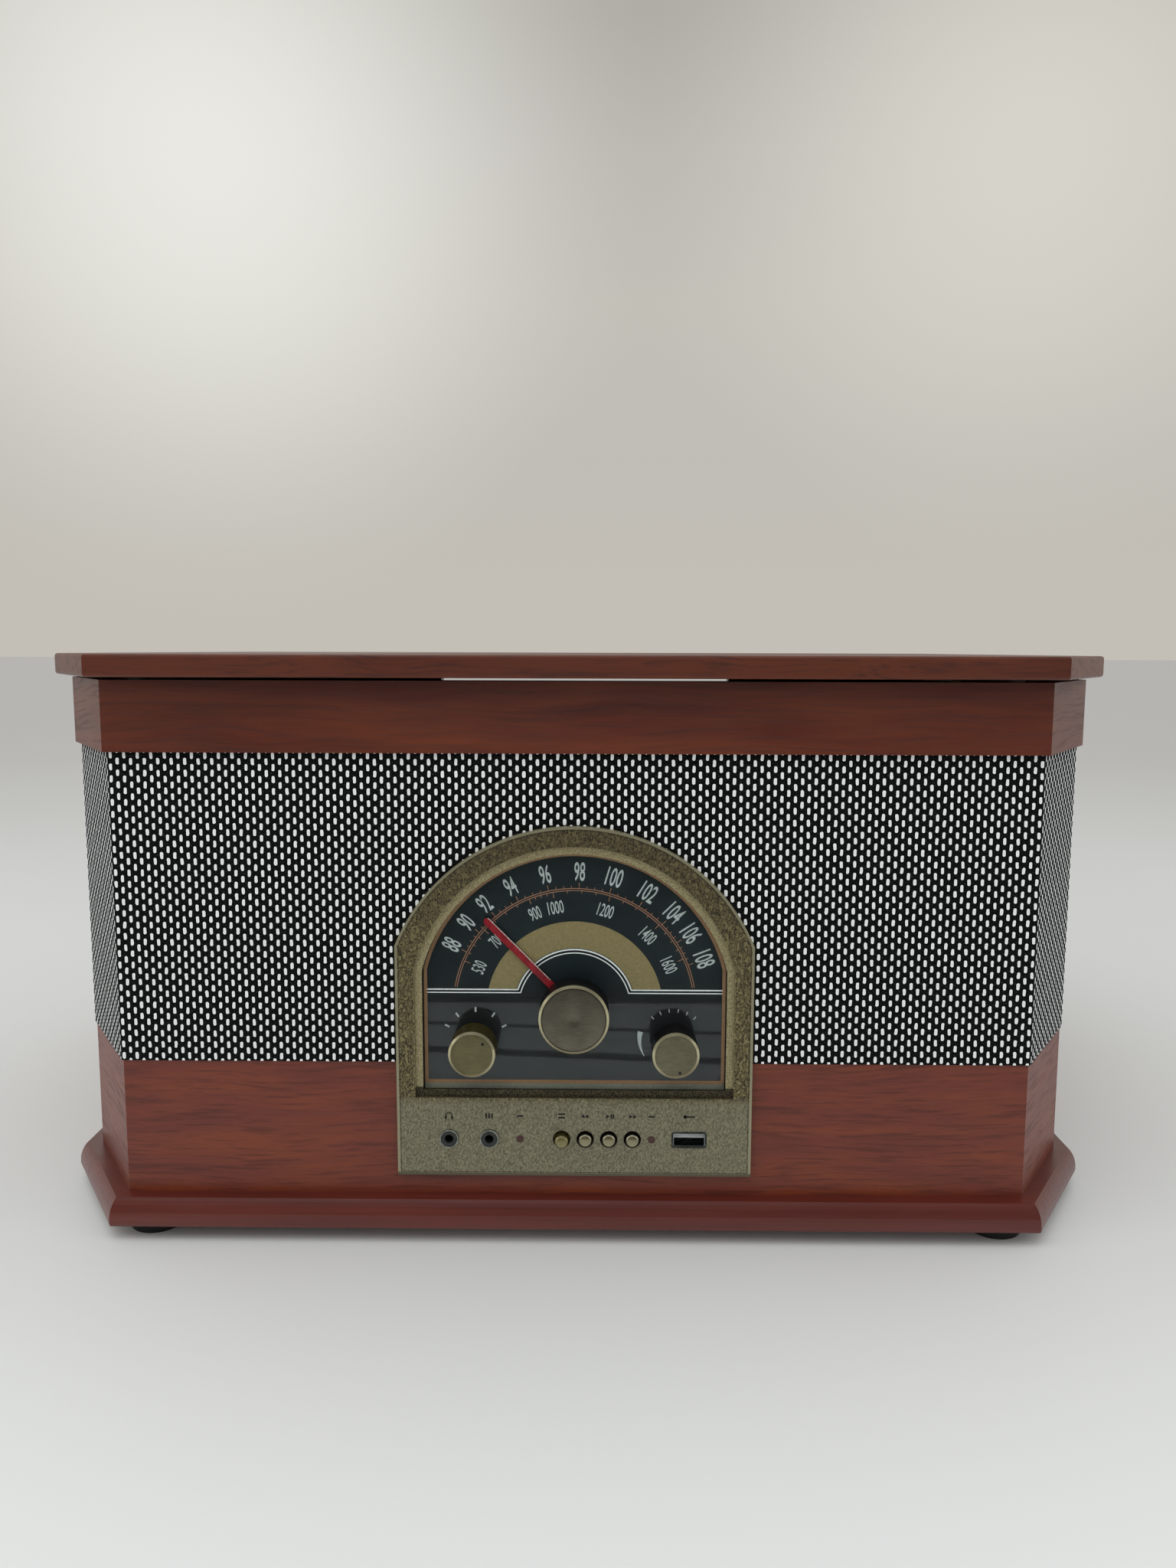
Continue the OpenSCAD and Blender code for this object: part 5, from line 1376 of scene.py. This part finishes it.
# %% Metals
def metal(name, dark, bright, roughness, run=(1, 1, 1)):
    """Plated or rolled metal, with fine lines along the directions given little run."""
    made = finish(name, bright, roughness, metallic=1.0)
    lines = noise(made, place(made, run), 1200.0, 3, 0.6)
    stain = noise(made, place(made), 30.0, 4)
    tint = scaled(made, stain, 0.5, scaled(made, lines, 0.5))
    return wire(made, Base_Color=ramp(made, tint, (0.35, dark), (0.65, bright)),
                Roughness=scaled(made, stain, 0.2, roughness - 0.1),
                Normal=bump(made, lines, 0.06, 0.0001))


dress(metal("motor_can", tone(132, 132, 128), tone(178, 178, 174), 0.36, (1, 1, 0.02)), "motor")
dress(metal("speaker_steel", tone(36, 37, 38), tone(64, 65, 66), 0.5), "speaker_baskets")
dress(metal("control_steel", tone(140, 140, 136), tone(184, 184, 180), 0.34), "rotary_controls")
dress(metal("stay_steel", tone(140, 132, 104), tone(190, 180, 148), 0.3, (1, 0.02, 1)),
      "stay_track", "stay_bracket", "stay_arm")
dress(metal("hinge_brass", tone(142, 116, 62), tone(196, 166, 96), 0.3, (0.02, 1, 1)),
      "hinge_leaves", "lid_hinge_leaves")
dress(metal("bearing_brass", tone(150, 120, 62), tone(204, 172, 100), 0.28), "platter_bearing",
      "motor_pulley")
dress(metal("spindle_steel", tone(178, 178, 178), tone(222, 222, 222), 0.12), "spindle")
dress(metal("yoke_alloy", tone(128, 128, 130), tone(170, 170, 172), 0.34), "arm_yoke", "lift_bar")
dress(metal("switch_chrome", tone(148, 148, 148), tone(196, 196, 196), 0.2),
      "speed_switch", "stop_switch")

# %% [markdown]
# The platter is turned on a lathe, so its cuts run round the spindle. Noise that only
# depends on the distance from the axis and on the height gives rings on the top and lines
# round the edge. The circuit boards have copper lanes under green lacquer, and solder pads.

# %% Turned platter
SPINDLE_X, SPINDLE_Y = -45 * MM, 3.2 * MM
turned = finish("turned_alloy", tone(150, 150, 152), 0.3, metallic=1.0)
turned_x, turned_y, turned_z = axes(turned, place(turned, offset=(-SPINDLE_X, -SPINDLE_Y, 0)))
rings = add(turned, "CombineXYZ", {
    0: scaled(turned, distance(turned, turned_x, turned_y), 9000.0),
    1: scaled(turned, turned_z, 9000.0)}).outputs[0]
cuts = noise(turned, rings, 1.0, 2)
clouded(turned, cuts, tone(132, 132, 134), tone(186, 186, 188), 0.14, 0.22)
wire(turned, Normal=bump(turned, cuts, 0.1, 0.00008))
dress(turned, "platter")

# %% Circuit boards
mask = finish("solder_mask", tone(28, 84, 48), 0.32, coat=0.3)
lanes = noise(mask, place(mask, (420, 1, 60)), 1.0, 1)
pads = add(mask, "TexVoronoi", {"Vector": place(mask, (1, 0, 1)), "Scale": 260.0}).outputs[0]
board = ramp(mask, lanes, (0.48, tone(24, 74, 42)), (0.54, tone(44, 106, 62)))
wire(mask, Base_Color=mixed(mask, between(mask, pads, 0.2, 0.14), board, tone(176, 172, 150)),
     Normal=bump(mask, lanes, 0.1, 0.0001))
dress(mask, "control_board", "main_board")

# %% [markdown]
# ## The mat
#
# A record lies on a thin rubber mat with raised rings. The mat is turned: its cross
# section is a flat bar whose upper edge is cut into ribs, spun once round the spindle.

# %% Cut the section of the mat into ribs
mat_low, mat_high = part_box("platter_mat")
MAT_HOLE, MAT_R = 4.05 * MM, (mat_high[X] - mat_low[X]) / 2
RIB, GROOVE, GROOVE_DEEP, RIBS_FROM = 2.6 * MM, 1.2 * MM, 0.55 * MM, 30 * MM
mat = sheet((SPINDLE_X + (MAT_R + MAT_HOLE) / 2, SPINDLE_Y, (mat_low[Z] + mat_high[Z]) / 2),
            (MAT_R - MAT_HOLE, mat_high[Z] - mat_low[Z]), (math.radians(90), 0, 0))
edit_all(mat)
level = RIBS_FROM
while level < MAT_R - 4 * MM:
    for cut_at in (level, level + GROOVE):
        bpy.ops.mesh.select_all(action="SELECT")
        bpy.ops.mesh.bisect(plane_co=(SPINDLE_X + cut_at, 0, 0), plane_no=(1, 0, 0))
    level += RIB + GROOVE
leave()
for spot in mat.data.vertices:
    reach = spot.co.x - SPINDLE_X
    step = (reach - RIBS_FROM) % (RIB + GROOVE)
    inside = RIBS_FROM - 0.1 * MM < reach < MAT_R - 3 * MM
    if inside and spot.co.z > mat_high[Z] - 0.1 * MM and abs(step - GROOVE) < 0.05 * MM:
        spot.co.z = mat_high[Z] - GROOVE_DEEP
print("the mat's section has", len(mat.data.vertices), "points")

# %% Spin the mat
edit_all(mat)
bpy.ops.mesh.dissolve_faces()
bpy.ops.mesh.delete(type="ONLY_FACE")
bpy.ops.mesh.select_all(action="SELECT")
bpy.ops.mesh.spin(steps=96, angle=math.radians(360), center=(SPINDLE_X, SPINDLE_Y, 0),
                  axis=(0, 0, 1))
outward()
done(mat, "ribbed_mat", "platter",
     rubber("mat_rubber", tone(24, 24, 24), tone(46, 45, 43), 0.78), smooth=30)
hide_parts("platter_mat")

# %% [markdown]
# ## Screws in the back
#
# Seven domed screws with a cross recess hold the back panel. One is shaped from a low disc:
# its front is inset twice and raised to a dome, the cross is cut with two bars, and the
# shank is drawn out of its rear face. The others are copies.

# %% A cross-recessed screw
BACK_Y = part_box("back_panel")[1][Y]
SCREW_R, SCREW_HIGH, SHANK_R, SHANK_L = 3.5 * MM, 1.5 * MM, 1.5 * MM, 13 * MM
screw = disc((0, BACK_Y + SCREW_HIGH / 2, 0), SCREW_R, SCREW_HIGH, sides=24)
pick(screw, BACK)
bpy.ops.mesh.inset(thickness=SCREW_R * 0.25, depth=0)
bpy.ops.mesh.inset(thickness=SCREW_R * 0.3, depth=0)
pick(screw, FRONT)
bpy.ops.mesh.inset(thickness=SCREW_R - SHANK_R, depth=0)
draw_out(0, -SHANK_L, 0)
leave()
for spot in screw.data.vertices:
    if spot.co.y > BACK_Y + SCREW_HIGH / 2:
        reach = math.hypot(spot.co.x, spot.co.z) / SCREW_R
        spot.co.y = BACK_Y + SCREW_HIGH * (1 - 0.6 * reach ** 2)
for wide, tall in ((1.3, 0.26), (0.26, 1.3)):
    carve(screw, block((0, BACK_Y + SCREW_HIGH, 0), (SCREW_R * wide, SCREW_HIGH, SCREW_R * tall)))
print("one screw has", len(screw.data.polygons), "faces")

# %% Copy the screw to its places
def twin(piece):
    """A copy with its own mesh."""
    copy = piece.copy()
    copy.data = piece.data.copy()
    bpy.context.scene.collection.objects.link(copy)
    return copy


SCREW_PLACES = ((-120, 180), (0, 180), (120, 180), (-203, 47.5), (203, 47.5),
                (-203, 107.5), (203, 107.5))
screws = [moved(twin(screw), (x * MM, 0, z * MM)) for x, z in SCREW_PLACES]
bpy.data.objects.remove(screw)
screws = done(joined(screws), "back_screws", "cabinet",
              metal("screw_zinc", tone(122, 120, 112), tone(178, 175, 166), 0.34))
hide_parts("wood_screws")

# %% [markdown]
# The two line sockets carry a coloured ring each, so that left and right are told apart
# without words: white for one side and red for the other.

# %% Coloured rings
SOCKET_Z = 59.5 * MM
RING_OUT, RING_IN, RING_T = 5.6 * MM, 4.4 * MM, 0.5 * MM
RING_Y = BACK_Y + 1.5 * MM
for name, x, colour, worn in (("ring_white", -157, tone(214, 212, 204), tone(188, 185, 176)),
                              ("ring_red", -143, tone(168, 34, 30), tone(140, 26, 24))):
    ring = arc_band(SOCKET_Z, RING_IN, RING_OUT, 0, 360, 40, RING_Y + RING_T, RING_T)
    done(moved(ring, (x * MM, 0, 0)), "line_" + name, "cabinet",
         moulding("ring_plastic_" + name, worn, colour, 0.4, 700.0), smooth=30)

# %% [markdown]
# ## On the deck
#
# The slide switches have a chromed cap with ridges for the finger. Each cap starts as a
# block; its top is inset and drawn up, and then three ridges are copied across it.

# %% Ridged switch caps
chrome = metal("cap_chrome", tone(150, 150, 150), tone(204, 204, 204), 0.18)


def switch_cap(name, node):
    """A bevelled cap with three ridges, a little larger than the CAD knob."""
    low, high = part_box(node)
    x, y, top = (low[X] + high[X]) / 2, (low[Y] + high[Y]) / 2, high[Z]
    base = block((x, y, top - 2.45 * MM), (9.3 * MM, 6.3 * MM, 5.0 * MM))
    inset(base, UPPER, 0.6 * MM, 0.35 * MM)
    ridge = block((x, y, top + 0.5 * MM), (7.2 * MM, 0.7 * MM, 0.5 * MM))
    inset(ridge, UPPER, 0.2 * MM, 0.15 * MM)
    ridges = [moved(twin(ridge), (0, step * MM, 0)) for step in (-1.6, 1.6)]
    done(joined([base, ridge] + ridges), name, node, chrome)


switch_cap("speed_cap", "speed_switch")
switch_cap("stop_cap", "stop_switch")

# %% [markdown]
# Beside the switches the deck is printed with the three record speeds and with the plain
# words for on and off. The print is pale ink, made like the numbers of the dial but lying
# flat on the deck.

# %% Print on the deck
PRINT_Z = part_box("deck")[1][Z] + INK / 2
WORDS_X, BORDER_X, BORDER_WIDE = 172 * MM, 175.5 * MM, 29 * MM
deck_ink = ink("deck_ink", tone(196, 196, 190), 0.5)
for name, tall, words in (("speed_numbers", 2.6 * MM, (("33", -13), ("45", -7), ("78", -1))),
                          ("stop_words", 2.4 * MM, (("OFF", -55), ("ON", -48)))):
    done(joined([lettering(text, tall * 1.4, (WORDS_X, y * MM, PRINT_Z), "RIGHT")
                 for text, y in words]), name, "cabinet", deck_ink)
borders = []
for low_y, high_y in ((-19, 8), (-60, -40)):
    border = block((BORDER_X, (low_y + high_y) / 2 * MM, PRINT_Z),
                   (BORDER_WIDE, (high_y - low_y) * MM, INK))
    hollow(border, UPPER_AND_UNDER, 0.35 * MM)
    borders.append(border)
done(joined(borders), "switch_borders", "cabinet", deck_ink)

# %% [markdown]
# ## The tone arm
#
# The arm is a bright tube with a black head shell in front and a weight behind. The head
# shell narrows to the tube, has softened edges and a finger lift that turns up at its tip.
# The weight has two grooves. All start from simple blocks and rods on the arm's own axis.

# %% Tube and collar
ARM_X, ARM_Y, ARM_Z = 140 * MM, 100.2 * MM, 216 * MM
TUBE_R = 3.5 * MM
SHELL_FRONT = ARM_Y - 228 * MM
arm_chrome = metal("arm_chrome", tone(156, 156, 158), tone(206, 206, 208), 0.2, (1, 0.02, 1))
tube_low, tube_high = SHELL_FRONT + 33 * MM, ARM_Y + 15 * MM
tube = disc((ARM_X, (tube_low + tube_high) / 2, ARM_Z), TUBE_R, tube_high - tube_low, sides=32)
pick(tube, FRONT)
bpy.ops.mesh.inset(thickness=0.6 * MM, depth=0)
draw_out(0, -2 * MM, 0)
collar = disc((ARM_X, SHELL_FRONT + 39 * MM, ARM_Z), TUBE_R + 0.9 * MM, 5 * MM, sides=32)
inset(collar, FRONT_AND_BACK, 0.4 * MM, 0.3 * MM)
print("tube is", round((tube_high - tube_low) / MM, 1), "mm long")

# %% Weight and axle
WEIGHT_R = 2 * TUBE_R
weight = disc((ARM_X, ARM_Y + 16.6 * MM, ARM_Z), WEIGHT_R, 4.8 * MM, sides=48)
pick(weight, BACK)
# what each step takes off the radius and adds to the length, in millimetres
for shrink, step in ((0.7, 0), (0, 0.8), (-0.7, 0), (0, 5.4), (0.7, 0), (0, 0.8), (-0.7, 0),
                     (0, 6.4), (0.8, 0.8)):
    if step:
        draw_out(0, step * MM, 0)
    if shrink:
        bpy.ops.mesh.extrude_region_move()
        share = (WEIGHT_R - max(shrink, 0) * MM) / (WEIGHT_R - max(-shrink, 0) * MM)
        bpy.ops.transform.resize(value=(share, 1, share), center_override=(ARM_X, 0, ARM_Z))
outward()
axle = moved(disc((0, 0, 0), 1.5 * MM, 20 * MM, sides=24), (ARM_X, ARM_Y, ARM_Z),
             (0, 0, math.radians(90)))
arm_parts = joined([tube, collar, weight, axle])
done(arm_parts, "arm_tube_and_weight", "tonearm", arm_chrome, smooth=35)
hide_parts("tonearm")

# %% [markdown]
# The head shell is a block whose rear end is drawn out and narrowed, and then softened by
# a bevel. The finger lift is drawn out of a small bar in two steps, each thinner than the
# last. Two rivets hold the cartridge.

# %% Head shell
SHELL_W, SHELL_L, SHELL_T, SHELL_Z = 18 * MM, 36 * MM, 5 * MM, ARM_Z - 2.5 * MM
head = block((ARM_X, SHELL_FRONT + SHELL_L / 3, SHELL_Z + SHELL_T / 2),
             (SHELL_W, SHELL_L * 2 / 3, SHELL_T))
pick(head, BACK)
draw_out(0, SHELL_L / 3, 0)
bpy.ops.transform.resize(value=(0.55, 1, 0.96), center_override=(ARM_X, 0, ARM_Z))
soften = hold(head).modifiers.new("softened", "BEVEL")
soften.width = 0.7 * MM
soften.segments = 2
soften.limit_method = "ANGLE"
soften.angle_limit = math.radians(50)
bpy.ops.object.modifier_apply(modifier="softened")
pick(head, looks(Z, 1, 0.95))
bpy.ops.mesh.inset(thickness=0.9 * MM, depth=0)
draw_out(0, 0, -0.5 * MM)
leave()
print("head shell has", len(head.data.polygons), "faces")

# %% Finger lift and rivets
lift_start = ARM_X + SHELL_W / 2 - 1 * MM
finger = block((lift_start + 3 * MM, SHELL_FRONT + 10.5 * MM, SHELL_Z + 0.75 * MM),
               (6 * MM, 5 * MM, 1.4 * MM))
for run, rise, narrow in ((1.6, 0.5, 0.9), (1.2, 1.1, 0.8)):
    pick(finger, looks(X, 1, 0.6))
    draw_out(run * MM, 0, rise * MM)
    bpy.ops.transform.resize(value=(1, narrow, narrow))
rivets = [disc((ARM_X + side * 4.2 * MM, SHELL_FRONT + 12 * MM, SHELL_Z + SHELL_T - 0.3 * MM),
               1.3 * MM, 1.0 * MM, along="Z", sides=20) for side in (-1, 1)]
for rivet in rivets:
    inset(rivet, UPPER, 0.35 * MM, 0.25 * MM)
done(joined([head, finger] + rivets), "head_shell", "tonearm",
     moulding("shell_black", tone(26, 26, 27), tone(44, 44, 45), 0.32, 600.0), smooth=30)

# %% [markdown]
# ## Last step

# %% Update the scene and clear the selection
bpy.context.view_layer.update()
clear()
